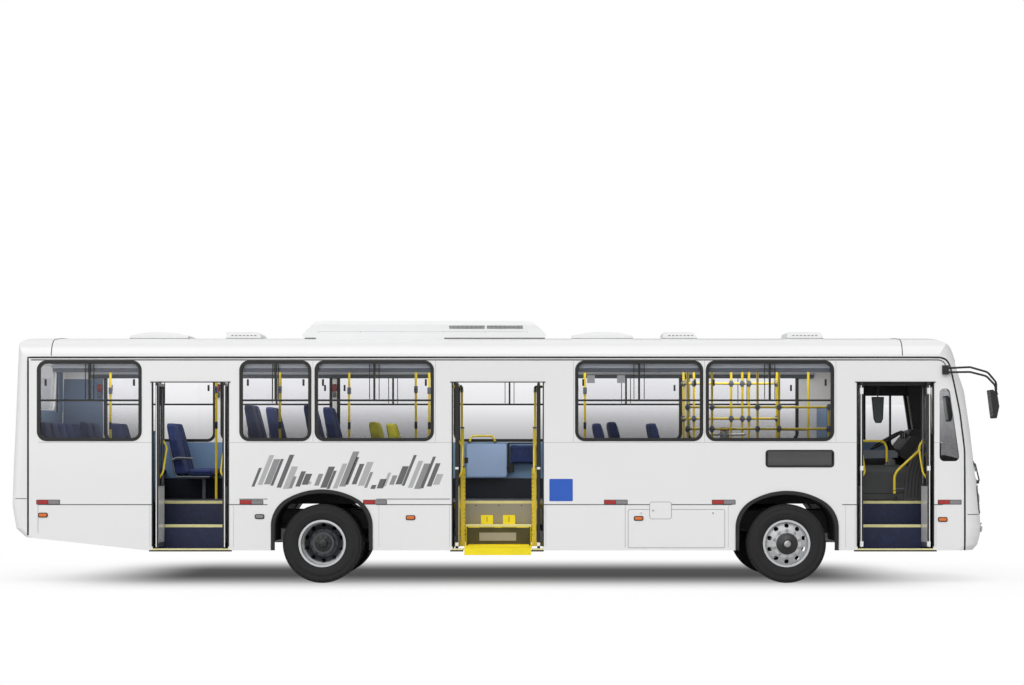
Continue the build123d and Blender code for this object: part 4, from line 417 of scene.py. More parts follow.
mottled("wheel_silver", (0.60, 0.61, 0.615), 0.34, 0.004, 0.0001, metal=0.35, coat=0.3, spread=0.05)
mottled("wheel_grey", (0.10, 0.105, 0.115), 0.4, 0.004, 0.0002, metal=0.3, spread=0.15)
mottled("hub_black", (0.012, 0.012, 0.013), 0.4, 0.004, 0.0002, coat=0.2, spread=0.2)
mottled("bolt_steel", (0.5, 0.5, 0.49), 0.3, 0.002, 0.0001, metal=1.0, spread=0.1)
print("wheel finishes ready")

# %% [markdown]
# ### Seat cover and floor
# The seats are covered in a hard-wearing navy plush with short pale strokes woven in at odd angles. Each
# stroke is a thin slice of a stretched noise that has been turned, so the strokes never line up. The floor
# has the small pale chips of a safety covering, which are the cells of a Voronoi pattern.

# %% Seat and floor finishes
def plush(name, ground, strokes):
    """Woven cover with scattered strokes: (colour, turn in degrees, amount)."""
    tree, body, place = start_finish(name, 0.85, sheen=0.04)
    drift = speckle(tree, place, 0.18, 3.0)
    dark = tuple(c * 0.72 for c in ground)
    light = tuple(min(1, c * 1.35) for c in ground)
    colour = blend_colours(tree, drift, [(0.3, dark), (0.7, light)])
    for tone, turn, amount in strokes:
        angles = [math.radians(turn * share) for share in (1.0, 0.6, 1.0)]
        swing = node(tree, "Mapping", {"Vector": place, "Rotation": angles})
        streak = speckle(tree, swing.outputs[0], 0.045, 1.0, stretch=(1, 5, 5))
        cut = maths(tree, "GREATER_THAN", streak, 1 - amount)
        layer = node(tree, "Mix", {"Factor": cut, "A": colour, "B": (*tone, 1)}, data_type="RGBA")
        colour = layer.outputs["Result"]
    tree.links.new(colour, body.inputs["Base Color"])
    emboss(tree, body, speckle(tree, place, 0.003, 2.0), 0.0008)


def chips(name, ground, chip, size):
    """Speckled safety floor."""
    tree, body, place = start_finish(name, 0.6)
    cells = node(tree, "TexVoronoi", {"Vector": place, "Scale": 1 / size})
    colour = blend_colours(tree, cells.outputs["Distance"], [(0.12, chip), (0.2, ground)])
    tree.links.new(colour, body.inputs["Base Color"])
    emboss(tree, body, speckle(tree, place, 0.004), 0.0003)


plush("blue_seat", (0.010, 0.022, 0.095), [((0.07, 0.12, 0.28), 25, 0.27), ((0.13, 0.16, 0.24), -40, 0.25)])
plush("yellow_seat", (0.50, 0.47, 0.03), [((0.30, 0.30, 0.04), 30, 0.32), ((0.66, 0.62, 0.20), -35, 0.3)])
plush("driver_seat_cloth", (0.03, 0.03, 0.033), [((0.08, 0.08, 0.09), 20, 0.3)])
chips("floor_grey", (0.06, 0.065, 0.075), (0.16, 0.17, 0.18), 0.02)
print("seat and floor finishes ready")

# %% [markdown]
# ## Dressing the CAD pieces
# The record names a material slot for every piece. Most pieces simply take the finish of that name. The
# tyres take a ringed rubber that is centred on their own axle.

# %% Finish every CAD piece
slot_of = {s["node"]: s["material_slot"] for s in frame["record"]["subparts"]}


def dress(node_name, finish):
    """Give a CAD piece one finish in all of its slots."""
    mesh = nodes[node_name].data
    if not mesh.materials:
        mesh.materials.append(finish)
    for i in range(len(mesh.materials)):
        mesh.materials[i] = finish


for node_name in sorted(nodes):
    wanted = slot_of[node_name]
    if wanted == "tyre":
        low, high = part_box(node_name)
        middle = [(a + b) / 2 for a, b in zip(low, high)]
        dress(node_name, ringed("rubber_" + node_name, (0.011, 0.011, 0.0115), 0.78, 0.012, 0.0006, middle))
    else:
        dress(node_name, finishes[wanted])
print("dressed", len(nodes), "pieces")

# %% [markdown]
# ## Tools for the added pieces
# Everything below is plain mesh code. A handful of small helpers make the basic forms: a box, an
# outline pulled into a prism, a profile turned on a lathe and a tube along a rounded path. One more turns
# a finished mesh into a piece with its bevels, its finish and the body that it rides on.

# %% Mesh helpers
SHARP = math.radians(38)


def add_box(bm, x, y, z):
    """Box between two values on each axis."""
    corners = [bm.verts.new((x[i], y[j], z[k])) for i in (0, 1) for j in (0, 1) for k in (0, 1)]
    for face in ((0, 1, 3, 2), (4, 6, 7, 5), (0, 4, 5, 1), (2, 3, 7, 6), (0, 2, 6, 4), (1, 5, 7, 3)):
        bm.faces.new([corners[i] for i in face])


def add_prism(bm, outline, low, high, axis="y"):
    """Outline on two axes pulled between two values on the third."""
    rings = []
    for v in (low, high):
        place = {"x": lambda p: (v, *p), "y": lambda p: (p[0], v, p[1]), "z": lambda p: (*p, v)}[axis]
        rings.append([bm.verts.new(place(p)) for p in outline])
    bm.faces.new(rings[0])
    bm.faces.new(rings[1])
    for i in range(len(outline)):
        j = (i + 1) % len(outline)
        bm.faces.new((rings[0][i], rings[0][j], rings[1][j], rings[1][i]))


def add_turned(bm, profile, centre, axis="y", steps=40, loop=False):
    """Profile of (along, radius) points turned about an axis through centre."""
    rings = []
    for along, radius in profile:
        ring = []
        for i in range(steps):
            a = 2 * math.pi * i / steps
            u, v = radius * math.cos(a), radius * math.sin(a)
            ring.append({"x": (along, u, v), "y": (u, along, v), "z": (u, v, along)}[axis])
        rings.append([bm.verts.new(Vector(p) + Vector(centre)) for p in ring])
    pairs = list(zip(rings, rings[1:])) + ([(rings[-1], rings[0])] if loop else [])
    for a, b in pairs:
        for i in range(steps):
            j = (i + 1) % steps
            bm.faces.new((a[i], a[j], b[j], b[i]))
    if not loop:
        bm.faces.new(rings[0])
        bm.faces.new(rings[-1])


def rounded_path(points, radius, steps=5):
    """Polyline with its corners turned into short curves."""
    points = [Vector(p) for p in points]
    path = [points[0]]
    for before, corner, after in zip(points, points[1:], points[2:]):
        back, on = before - corner, after - corner
        cut = min(radius, back.length * 0.48, on.length * 0.48)
        start, end = corner + back.normalized() * cut, corner + on.normalized() * cut
        for i in range(steps + 1):
            t = i / steps
            path.append(start * (1 - t) ** 2 + corner * 2 * t * (1 - t) + end * t**2)
    return path + [points[-1]]


def add_tube(bm, path, radius, sides=10, flat=1.0):
    """Tube along a path; flat squeezes its section."""
    path = [Vector(p) for p in path]
    ahead = (path[1] - path[0]).normalized()
    across = ahead.orthogonal().normalized()
    rings = []
    for i, point in enumerate(path):
        way = path[min(i + 1, len(path) - 1)] - path[max(i - 1, 0)]
        way.normalize()
        across = (across - way * across.dot(way)).normalized()
        third = way.cross(across)
        ring = []
        for k in range(sides):
            a = 2 * math.pi * k / sides
            offset = across * math.cos(a) * radius + third * math.sin(a) * radius * flat
            ring.append(bm.verts.new(point + offset))
        rings.append(ring)
    for a, b in zip(rings, rings[1:]):
        for k in range(sides):
            j = (k + 1) % sides
            bm.faces.new((a[k], a[j], b[j], b[k]))
    bm.faces.new(rings[0])
    bm.faces.new(rings[-1])


def rounded_box_outline(x, z, radius, steps=5):
    """Rectangle on two axes with rounded corners."""
    outline = []
    centres = ((x[1] - radius, z[1] - radius), (x[0] + radius, z[1] - radius))
    centres += ((x[0] + radius, z[0] + radius), (x[1] - radius, z[0] + radius))
    for quarter, (cx, cz) in enumerate(centres):
        for i in range(steps + 1):
            a = math.pi / 2 * (quarter + i / steps)
            outline.append((cx + radius * math.cos(a), cz + radius * math.sin(a)))
    return outline


def finished(bm, name, finish, body="bus", bevel=0.0):
    """Piece made from mesh code: normals, bevel, finish, slot and body."""
    bmesh.ops.remove_doubles(bm, verts=bm.verts, dist=1e-6)
    bmesh.ops.recalc_face_normals(bm, faces=bm.faces)
    mesh = bpy.data.meshes.new(name)
    bm.to_mesh(mesh)
    bm.free()
    mesh.shade_smooth()
    mesh.set_sharp_from_angle(angle=SHARP)
    mesh.materials.append(finishes[finish])
    piece = bpy.data.objects.new(name, mesh)
    scene.collection.objects.link(piece)
    if bevel:
        edge = piece.modifiers.new("rounded edges", "BEVEL")
        edge.width = bevel
        edge.segments = 2
        edge.limit_method = "ANGLE"
        edge.angle_limit = SHARP
    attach(piece, body)
    return piece


body_of = {node: body for body, held in frame["record"]["behaviour"]["bodies"].items() for node in held}
print("mesh helpers ready")

# %% [markdown]
# ## Tyres
# A bus tyre has straight ribs with fine cross cuts, rounded shoulders and stepped rings on its sidewall.
# The carcass is one profile turned on the axle. The ribs are then laid round it as small leaning blocks, so
# the grooves between them are real gaps that catch a shadow. Each tyre stands in for its plain CAD ring
# and takes its size and place from that ring.

# %% Tyres
RIBS = [(-0.86, -0.58), (-0.50, -0.20), (-0.14, 0.14), (0.20, 0.50), (0.58, 0.86)]
TREAD_DEPTH = 0.013
BLOCKS_ROUND = 64
BLOCK_FILL = 0.82
# Side profile: share of half the width, share of the way from the bead to the tread
SIDEWALL = [
    (0.62, 0.00), (0.78, 0.02), (0.86, 0.10), (0.885, 0.12), (0.93, 0.25), (0.985, 0.42), (0.985, 0.44),
    (1.00, 0.46), (1.00, 0.52), (0.985, 0.54), (0.975, 0.66), (0.955, 0.70), (0.965, 0.72), (0.945, 0.86),
    (0.91, 0.93),
]


def islands(node_name):
    """Boxes of a node's separate solids, each as a lowest and a highest corner."""
    bm = bmesh.new()
    bm.from_mesh(nodes[node_name].data)
    bmesh.ops.remove_doubles(bm, verts=bm.verts, dist=1e-5)
    left = set(bm.verts)
    boxes = []
    while left:
        queue = [left.pop()]
        group = []
        while queue:
            vertex = queue.pop()
            group.append(vertex.co.copy())
            for edge in vertex.link_edges:
                other = edge.other_vert(vertex)
                if other in left:
                    left.remove(other)
                    queue.append(other)
        axes = list(zip(*group))
        boxes.append((Vector([min(a) for a in axes]), Vector([max(a) for a in axes])))
    bm.free()
    return sorted(boxes, key=lambda b: tuple(round(v, 3) for v in b[0]))


def tread_block(bm, centre, half, ribs, radius, turn):
    """One leaning block of a rib, from inside the carcass up to the tread."""
    width = math.pi / BLOCKS_ROUND * BLOCK_FILL
    y0, y1 = (centre[1] + half * r for r in ribs)
    lean = 0.35 * width
    corners = []
    for r in (radius - 1.3 * TREAD_DEPTH, radius):
        for a, y in ((-width - lean, y0), (width - lean, y0), (width + lean, y1), (-width + lean, y1)):
            a += turn
            corners.append(bm.verts.new((centre[0] + r * math.cos(a), y, centre[2] + r * math.sin(a))))
    for face in ((4, 5, 6, 7), (0, 1, 5, 4), (1, 2, 6, 5), (2, 3, 7, 6), (3, 0, 4, 7)):
        bm.faces.new([corners[i] for i in face])


def build_tyre(node_name, number, low, high, bead):
    """Carcass and ribs of one tyre, in the place of its CAD ring."""
    centre = (low + high) / 2
    half = (high[1] - low[1]) / 2
    radius = (high[2] - low[2]) / 2
    floor = radius - TREAD_DEPTH
    side = [(s * half, bead + (floor - bead) * r) for s, r in SIDEWALL]
    crown = [(0.80 * half, floor), (0.0, floor + 0.001), (-0.80 * half, floor)]
    profile = side + crown + [(-a, r) for a, r in reversed(side)]
    bm = bmesh.new()
    add_turned(bm, profile, centre, steps=96, loop=True)
    for i, ribs in enumerate(RIBS):
        for k in range(BLOCKS_ROUND):
            tread_block(bm, centre, half, ribs, radius, 2 * math.pi * (k + 0.5 * (i % 2)) / BLOCKS_ROUND)
    name = f"{node_name}_rubber_{number}"
    finishes[name] = ringed(name, (0.011, 0.011, 0.0115), 0.78, 0.011, 0.0005, centre)
    tyre = finished(bm, name, name, body_of[node_name])
    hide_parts(node_name)


rim_radius = (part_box("front_rim_left")[1][2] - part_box("front_rim_left")[0][2]) / 2
for node_name in sorted(n for n in nodes if "tyre" in n):
    for number, (low, high) in enumerate(islands(node_name), 1):
        build_tyre(node_name, number, low, high, rim_radius - 0.004)
print("six tyres,", len(RIBS) * BLOCKS_ROUND, "tread blocks each")

# %% [markdown]
# ## Wheels
# The CAD wheels have their dish and their round hand holes already. Here each outer face gets ten nuts on
# pressed washers, a turned hub with a bright cap in front and a flanged axle end behind. The paint is read
# by distance from the axle, so that the rear dish can be dark in the middle and silver at the lip without
# cutting the mesh.

# %% Wheel paint, nuts and hubs
NUT_CIRCLE = 0.1675
NUT_R = 0.016
NUT_COUNT = 10


def wheel_paint(name, centre, stops, reach):
    """Paint whose colour depends on the distance from a wheel's axis."""
    tree, body, place = start_finish(name, 0.34, 0.3, 0.3)
    shift = node(tree, "VectorMath", {0: place, 1: centre}, operation="SUBTRACT")
    scale = (1 / reach, 0, 1 / reach)
    flat = node(tree, "VectorMath", {0: shift.outputs[0], 1: scale}, operation="MULTIPLY")
    radius = node(tree, "VectorMath", {0: flat.outputs[0]}, operation="LENGTH")
    tree.links.new(blend_colours(tree, radius.outputs["Value"], stops), body.inputs["Base Color"])
    grain = speckle(tree, place, 0.004)
    emboss(tree, body, grain, 0.0002)
    vary_roughness(tree, body, speckle(tree, place, 0.06), 0.26, 0.46)
    return finishes[name]


def add_nuts(bm, centre, face_y, side):
    """Ring of hexagon nuts on washers, proud of a wheel's face."""
    for i in range(NUT_COUNT):
        a = 2 * math.pi * (i + 0.5) / NUT_COUNT
        x, z = centre[0] + NUT_CIRCLE * math.cos(a), centre[2] + NUT_CIRCLE * math.sin(a)
        washer = [(0, NUT_R * 1.45), (side * 0.004, NUT_R * 1.4), (side * 0.005, NUT_R * 1.05)]
        nut = [(side * 0.005, NUT_R), (side * 0.020, NUT_R), (side * 0.024, NUT_R * 0.8)]
        stud = [(side * 0.024, NUT_R * 0.5), (side * 0.034, NUT_R * 0.5), (side * 0.036, NUT_R * 0.35)]
        for profile, steps in ((washer, 20), (nut, 6), (stud, 12)):
            add_turned(bm, profile, (x, face_y, z), steps=steps)


WHEELS = [(n, -1 if n.endswith("right") else 1) for n in sorted(nodes) if "rim" in n]
for node_name, side in WHEELS:
    low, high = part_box(node_name)
    centre = [(a + b) / 2 for a, b in zip(low, high)]
    radius = (high[2] - low[2]) / 2
    silver, grey = (0.60, 0.61, 0.62), (0.07, 0.075, 0.085)
    front = node_name.startswith("front")
    stops = [(0.0, silver), (1.0, silver)] if front else [
        (0.0, grey), (0.80, grey), (0.86, silver), (1.0, silver)
    ]
    dress(node_name, wheel_paint("paint_" + node_name, centre, stops, radius))
print("painted", len(WHEELS), "wheel nodes")

# %% [markdown]
# ### Hubs
# A front hub shows a black cap and a bright dust cover, and a driven rear hub shows the flange of its axle
# shaft with eight bolts. All of them are round, so each is one profile turned on a lathe, and the measures
# are steps out from the wheel's own face. That keeps a hub right wherever its wheel stands.

# %% Hubs and nuts
FRONT_CAP = [(0.0, 0.139), (0.010, 0.136), (0.016, 0.118), (0.020, 0.075), (0.028, 0.066), (0.030, 0.050)]
BRIGHT_CAP = [(0.028, 0.048), (0.042, 0.047), (0.050, 0.040), (0.053, 0.022), (0.054, 0.001)]
AXLE_FLANGE = [
    (0.0, 0.112), (0.010, 0.110), (0.014, 0.090), (0.020, 0.060), (0.045, 0.052), (0.050, 0.040),
    (0.051, 0.001),
]
FLANGE_BOLTS = 8
FLANGE_BOLT_CIRCLE = 0.088
REAR_HUB_DEPTH = 0.141  # of the flange behind the outer face
FRONT_FACE, REAR_FACE = 0.0210, 0.2810  # wheel disc behind the node's outer face

for node_name, side in WHEELS:
    low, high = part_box(node_name)
    centre = [(a + b) / 2 for a, b in zip(low, high)]
    outer = high[1] if side > 0 else low[1]
    body = body_of[node_name]
    front = node_name.startswith("front")
    bm = bmesh.new()
    add_nuts(bm, centre, outer - side * (FRONT_FACE if front else REAR_FACE), side)
    finished(bm, f"{node_name}_nuts", "bolt_steel" if front else "wheel_grey", body)
    on_axle = (centre[0], 0.0, centre[2])
    bm = bmesh.new()
    start = outer if front else outer - side * REAR_HUB_DEPTH
    add_turned(bm, [(start + side * a, r) for a, r in (FRONT_CAP if front else AXLE_FLANGE)], on_axle)
    if not front:
        for i in range(FLANGE_BOLTS):
            a = 2 * math.pi * i / FLANGE_BOLTS
            along, up = FLANGE_BOLT_CIRCLE * math.cos(a), FLANGE_BOLT_CIRCLE * math.sin(a)
            spot = (centre[0] + along, 0.0, centre[2] + up)
            add_turned(
                bm, [(start + side * v, r) for v, r in ((0.008, 0.013), (0.020, 0.013), (0.024, 0.009))],
                spot, steps=6,
            )
    finished(bm, f"{node_name}_hub", "hub_black", body)
    if front:
        bm = bmesh.new()
        add_turned(bm, [(start + side * a, r) for a, r in BRIGHT_CAP], on_axle)
        finished(bm, f"{node_name}_cap", "bolt_steel", body)
print("hubs and nuts on", len(WHEELS), "wheels")

# %% [markdown]
# ## Seams and mouldings of the body
# Seen close up, a bus side is a patchwork: sheets meet at dark butt seams, a rain gutter runs the length
# of the roof edge, and rubber drips sit over the doors. The seams are raised by a millimetre, as a bead of
# sealant is. They are laid as thin strips between the doorways and the wheel arches, on both sides.

# %% Side seams and drips
SIDE_Y = 1.25
SEAM_H = 0.005
WIDE_SEAM_H = 0.012
SEAM_PROUD = 0.0012
DRIP_Z = 2.572
BODY_X = (-5.93, 5.64)
TAIL_SKIRT_Z = 0.645
RIGHT_DOORS = [(-4.465, -3.498), (-0.628, 0.528), (4.552, 5.520)]
WHEEL_SPANS = [(-2.996, -1.604), (2.945, 4.355)]


def clear_spans(x, gaps):
    """What is left of a span on X once the gaps are cut out of it."""
    spans, start = [], x[0]
    for a, b in sorted(gaps):
        if start < min(a, x[1]):
            spans.append((start, min(a, x[1])))
        start = max(start, b)
    if start < x[1]:
        spans.append((start, x[1]))
    return spans


def side_strip(bm, side, x, z, proud=SEAM_PROUD, sunk=0.002):
    """Thin strip on a body side."""
    y = sorted((side * (SIDE_Y - sunk), side * (SIDE_Y + proud)))
    add_box(bm, x, y, z)


fine = bmesh.new()
bm = bmesh.new()
for side, doors in ((-1, RIGHT_DOORS), (1, [])):
    for target, z, gaps, width in (
        (bm, 1.005, doors + WHEEL_SPANS, WIDE_SEAM_H), (fine, 1.800, doors, SEAM_H)
    ):
        for span in clear_spans(BODY_X, gaps):
            side_strip(target, side, span, (z - width / 2, z + width / 2))
    for span in clear_spans((-3.359, -0.660), WHEEL_SPANS):
        side_strip(bm, side, span, (1.071, 1.081))
    for x in (-5.93, -4.500, -3.430, -1.570, -0.665, 0.565, 1.58, 2.900, 4.400, 4.520, 5.555):
        z0 = 1.21 if any(a < x < b for a, b in WHEEL_SPANS) else 0.46
        if x == BODY_X[0]:
            z0 = TAIL_SKIRT_Z
        side_strip(
            bm if x in (1.58, -5.93) else fine, side, (x - 0.002, x + 0.002),
            (z0, 1.000 if z0 < 0.9 else 1.80),
        )
    for x in (-2.413, -0.845, 0.92, 2.594, 4.275):
        side_strip(fine, side, (x - 0.002, x + 0.002), (1.80, 2.850))
finished(bm, "side_seams", "stripe_grey")
finished(fine, "fine_side_seams", "stripe_pale")

bm = bmesh.new()
for x0, x1 in RIGHT_DOORS:
    path = [(x0 - 0.03, -SIDE_Y - 0.006, DRIP_Z), (x1 + 0.03, -SIDE_Y - 0.006, DRIP_Z)]
    add_tube(bm, path, 0.007, 8)
    for x in (x0, x1):
        sign = 1 if x == x0 else -1
        add_box(bm, sorted((x - sign * 0.012, x + sign * 0.004)), (-SIDE_Y - 0.004, -1.20), (0.47, DRIP_Z))
finished(bm, "door_surround_rubbers", "black_rubber", bevel=0.002)
print("seams and door rubbers on both sides")

# %% [markdown]
# ## Reflectors, side lamps and flaps
# Along the skirt sit two-tone reflectors and small amber lamps, each in a thin rubber bed. The fuel flap
# and the service panel are sheets with rounded corners: a slightly raised sheet with a dark gap round it,
# with two round catches on the service panel and one on the fuel flap. The blank blue square is a sign with
# nothing printed on it.

# %% Reflectors, lamps and flaps
REFLECTORS = [-5.800, -3.200, -1.620, 1.460, 2.840, 5.730]
LAMPS = [
    (-5.866, 0.871, True), (-3.096, 0.852, False), (-1.165, 0.838, True), (1.752, 0.829, True),
    (5.640, 0.815, True),
]
FUEL_FLAP = ((1.895, 2.170), (0.824, 1.036))
SERVICE_PANEL = ((1.620, 2.851), (0.455, 0.940))
BLANK_SIGN = ((0.610, 0.910), (1.049, 1.334))


def side_panel(bm, side, x, z, radius, inner, proud):
    """Sheet with rounded corners lying on a body side."""
    outline = rounded_box_outline(x, z, radius)
    add_prism(bm, outline, side * (SIDE_Y - inner), side * (SIDE_Y + proud))


red, pale, bed, amber, grey_lamp = (bmesh.new() for _ in range(5))
for side in (-1, 1):
    for x in REFLECTORS:
        for target, x0, x1 in ((red, x - 0.145, x - 0.002), (pale, x + 0.002, x + 0.145)):
            side_panel(target, side, (x0, x1), (1.012, 1.062), 0.006, 0.002, 0.006)
        side_panel(bed, side, (x - 0.152, x + 0.152), (1.006, 1.068), 0.010, 0.002, 0.003)
    for x, z, is_amber in LAMPS:
        side_panel(
            amber if is_amber else grey_lamp, side, (x - 0.05, x + 0.05), (z - 0.020, z + 0.020), 0.016,
            0.002, 0.018,
        )
        side_panel(bed, side, (x - 0.062, x + 0.062), (z - 0.031, z + 0.031), 0.022, 0.002, 0.007)
finished(red, "reflectors_red", "lamp_red", bevel=0.002)
finished(pale, "reflectors_grey", "reflector_grey", bevel=0.002)
finished(bed, "lamp_and_reflector_beds", "black_rubber", bevel=0.0015)
finished(amber, "side_lamps_amber", "lamp_amber", bevel=0.005)
finished(grey_lamp, "side_lamps_grey", "reflector_grey", bevel=0.005)

gap, sheet, metal = (bmesh.new() for _ in range(3))
for x, z, radius, proud in ((*SERVICE_PANEL, 0.02, 0.0008), (*FUEL_FLAP, 0.03, 0.0022)):
    side_panel(
        gap, -1, (x[0] - 0.005, x[1] + 0.005), (z[0] - 0.005, z[1] + 0.005), radius + 0.005, 0.002, proud
    )
    side_panel(sheet, -1, x, z, radius, 0.0015, proud + 0.0009)
for x in (1.78, 2.70):
    add_turned(
        metal, [(-SIDE_Y - 0.003, 0.014), (-SIDE_Y - 0.007, 0.013), (-SIDE_Y - 0.008, 0.009)], (x, 0, 0.90),
        steps=20,
    )
add_turned(
    metal, [(-SIDE_Y - 0.003, 0.016), (-SIDE_Y - 0.008, 0.015), (-SIDE_Y - 0.009, 0.006)],
    (1.935, 0, 0.930), steps=20,
)
finished(gap, "flap_gaps", "stripe_grey")
finished(sheet, "fuel_flap_and_service_panel", "white_paint", bevel=0.0015)
finished(metal, "flap_catches", "bright_trim")
bm = bmesh.new()
side_panel(bm, -1, *BLANK_SIGN, 0.012, 0.002, 0.0018)
finished(bm, "blank_blue_sign", "sign_blue")
print(2 * len(REFLECTORS), "reflectors,", 2 * len(LAMPS), "side lamps")

# %% [markdown]
# ## Painted stripes
# The sides carry a band of slanted strokes in three greys between two doors. Each stroke leans the same
# way and its height follows a slow wave, so the band swells and thins like a rhythm. They are thin vinyl
# sheets, half a millimetre proud, and each one is worked out from its number in the row.

# %% Slanted grey strokes
STROKES = 30
STROKE_X = (-3.20, -0.80)
STROKE_FOOT = 1.235
STROKE_LEAN = 0.16

vinyl = {tone: bmesh.new() for tone in ("stripe_grey", "stripe_mid", "stripe_pale")}
for side in (-1, 1):
    for i in range(STROKES):
        x = STROKE_X[0] + (STROKE_X[1] - STROKE_X[0]) * i / STROKES
        height = 0.24 + 0.14 * math.sin(i * 0.55) + 0.07 * math.sin(i * 1.9)
        width = 0.038 + 0.022 * (i % 3)
        foot = STROKE_FOOT + 0.03 * math.sin(i * 0.9)
        lean = STROKE_LEAN * height / 0.4
        outline = [(x, foot), (x + width, foot), (x + width + lean, foot + height), (x + lean, foot + height)]
        tone = list(vinyl)[(i * 5 + i // 4) % 3]
        add_prism(vinyl[tone], outline, side * (SIDE_Y - 0.001), side * (SIDE_Y + 0.0006))
for tone, bm in vinyl.items():
    finished(bm, f"strokes_{tone}", tone)
print(2 * STROKES, "strokes")

# %% [markdown]
# ## Door leaves
# Each leaf swings on two pivots, so what is fixed to it rides on the leaf's own body. A leaf has a black
# rubber nose on its closing edge and on its outer edge, white sheet below its window on both faces, a
# rubber seal round the glass, white end blocks on its edge and one bent yellow handrail on its inner face.

# %% Dress the door leaves
EDGE_BLOCKS = {
    "rear": [], "middle": [(1.455, 1.485), (0.475, 0.520)],
    "front": [(1.44, 1.50), (0.470, 0.535), (2.42, 2.50)],
}
LEAF_GLASS_Z = 1.25


def dress_leaf(door, label):
    """Rubbers, sheets, handle and edge blocks of one leaf."""
    body = f"{door}_door_{label}_leaf"
    low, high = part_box(body)
    inward = 1 if label == "rear" else -1
    foot, head = low[2] + 0.006, high[2] - 0.015
    middle = (low[0] + high[0]) / 2
    rubber = bmesh.new()
    for y in (low[1], high[1]):
        add_box(
            rubber, (middle - 0.019, middle + 0.019),
            (y - 0.003 if y < -1.2 else y - 0.010, y + 0.010 if y < -1.2 else y + 0.002), (foot, head),
        )
    glass_low, glass_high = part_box(body.replace("leaf", "glass"))
    for face in (-1, 1):
        x = middle + face * 0.0175
        y0, y1, z0, z1 = glass_low[1], glass_high[1], glass_low[2], glass_high[2]
        path = [(x, y0, z0), (x, y1, z0), (x, y1, z1), (x, y0, z1), (x, y0, z0), (x, (y0 + y1) / 2, z0)]
        add_tube(rubber, rounded_path(path, 0.03), 0.008, 6)
    finished(rubber, f"{body}_rubbers", "black_rubber", body, bevel=0.002)
    sheet = bmesh.new()
    for face in (-1, 1):
        x = sorted((middle + face * 0.0165, middle + face * 0.0190))
        add_box(sheet, x, (low[1] + 0.016, high[1] - 0.016), (low[2] + 0.075, LEAF_GLASS_Z - 0.012))
    for z0, z1 in EDGE_BLOCKS[door]:
        add_box(sheet, (middle - 0.0205, middle + 0.0205), (low[1] - 0.004, low[1] + 0.05), (z0, z1))
    if door != "middle":
        add_box(
            sheet, sorted((middle - inward * 0.002, middle - inward * 0.014)),
            (low[1] - 0.0045, low[1] + 0.004), (low[2] + 0.02, head - 0.03),
        )
    finished(sheet, f"{body}_sheets", "white_paint", body, bevel=0.002)
    rail = bmesh.new()
    x = middle + inward * 0.017
    out = inward * 0.040
    top, foot_y = high[1] - 0.060, low[1] + 0.120
    path = [(x, top, 1.812), (x + out, top, 1.739), (x + out, foot_y, 1.415), (x, foot_y, 1.357)]
    add_tube(rail, rounded_path(path, 0.05), 0.0125, 12)
    for spot in (path[0], path[-1]):
        add_turned(
            rail, [(x, 0.024), (x + inward * 0.004, 0.024), (x + inward * 0.006, 0.016)],
            (0, spot[1], spot[2]), axis="x", steps=20,
        )
    finished(rail, f"{body}_handle", "yellow_tube", body)


for door in ("rear", "middle", "front"):
    for label in ("rear", "front"):
        dress_leaf(door, label)
print("six door leaves dressed")

# %% [markdown]
# ## Steps and sills
# A step edge gets a pale yellow ribbed nosing so that it can be seen, and the sill at the bottom of each
# doorway gets one as well with a black rubber lip under it. The risers stay navy. Their places come from
# the doorway's own boxes: the first riser stands just behind the sweep of the leaves.

# %% Nosings, sills and risers
STEP_LEVELS = (0.440, 0.730, 1.030)
WELL_Y = -0.445
SWEEP_GAP = 0.0084
NOSING_H = 0.032

risers = {}
nosing, lip = bmesh.new(), bmesh.new()
for door, (x0, x1) in zip(("rear", "middle", "front"), RIGHT_DOORS):
    risers[door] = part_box(f"{door}_door_rear_leaf")[1][1] + SWEEP_GAP
    spots = [(WELL_Y - 0.0135, STEP_LEVELS[2], (x0, x1))]
    if door != "middle":
        spots.append((risers[door] - 0.0015, STEP_LEVELS[1], (x0 + 0.002, x1 - 0.002)))
    for y, z, x in spots:
        add_box(nosing, x, (y, y + 0.045), (z + 0.0002, z + 0.003))
        add_box(nosing, x, (y, y + 0.003), (z - NOSING_H, z + 0.003))
        for k in range(3):
            add_box(nosing, x, (y + 0.012 + 0.009 * k, y + 0.016 + 0.009 * k), (z + 0.003, z + 0.0045))
    if door != "middle":
        add_box(nosing, (x0 + 0.003, x1 - 0.003), (-SIDE_Y - 0.003, -SIDE_Y + 0.03), (0.4405, 0.4430))
        add_box(nosing, (x0 - 0.01, x1 + 0.01), (-SIDE_Y - 0.005, -SIDE_Y - 0.0005), (0.424, 0.443))
        add_box(lip, (x0 - 0.045, x1 + 0.045), (-SIDE_Y - 0.007, -SIDE_Y + 0.02), (0.405, 0.4235))
    else:
        low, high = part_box("lift_platform")
        for xa, xb in ((x0 - 0.01, low[0] - 0.006), (high[0] + 0.006, x1 + 0.01)):
            add_box(nosing, (xa, xb), (-SIDE_Y - 0.005, -SIDE_Y - 0.0005), (0.424, 0.443))
            add_box(lip, (xa - 0.02, xb), (-SIDE_Y - 0.007, -SIDE_Y + 0.02), (0.405, 0.4235))
finished(nosing, "step_nosings", "pale_yellow_edge", bevel=0.001)
finished(lip, "sill_lips", "black_rubber", bevel=0.003)

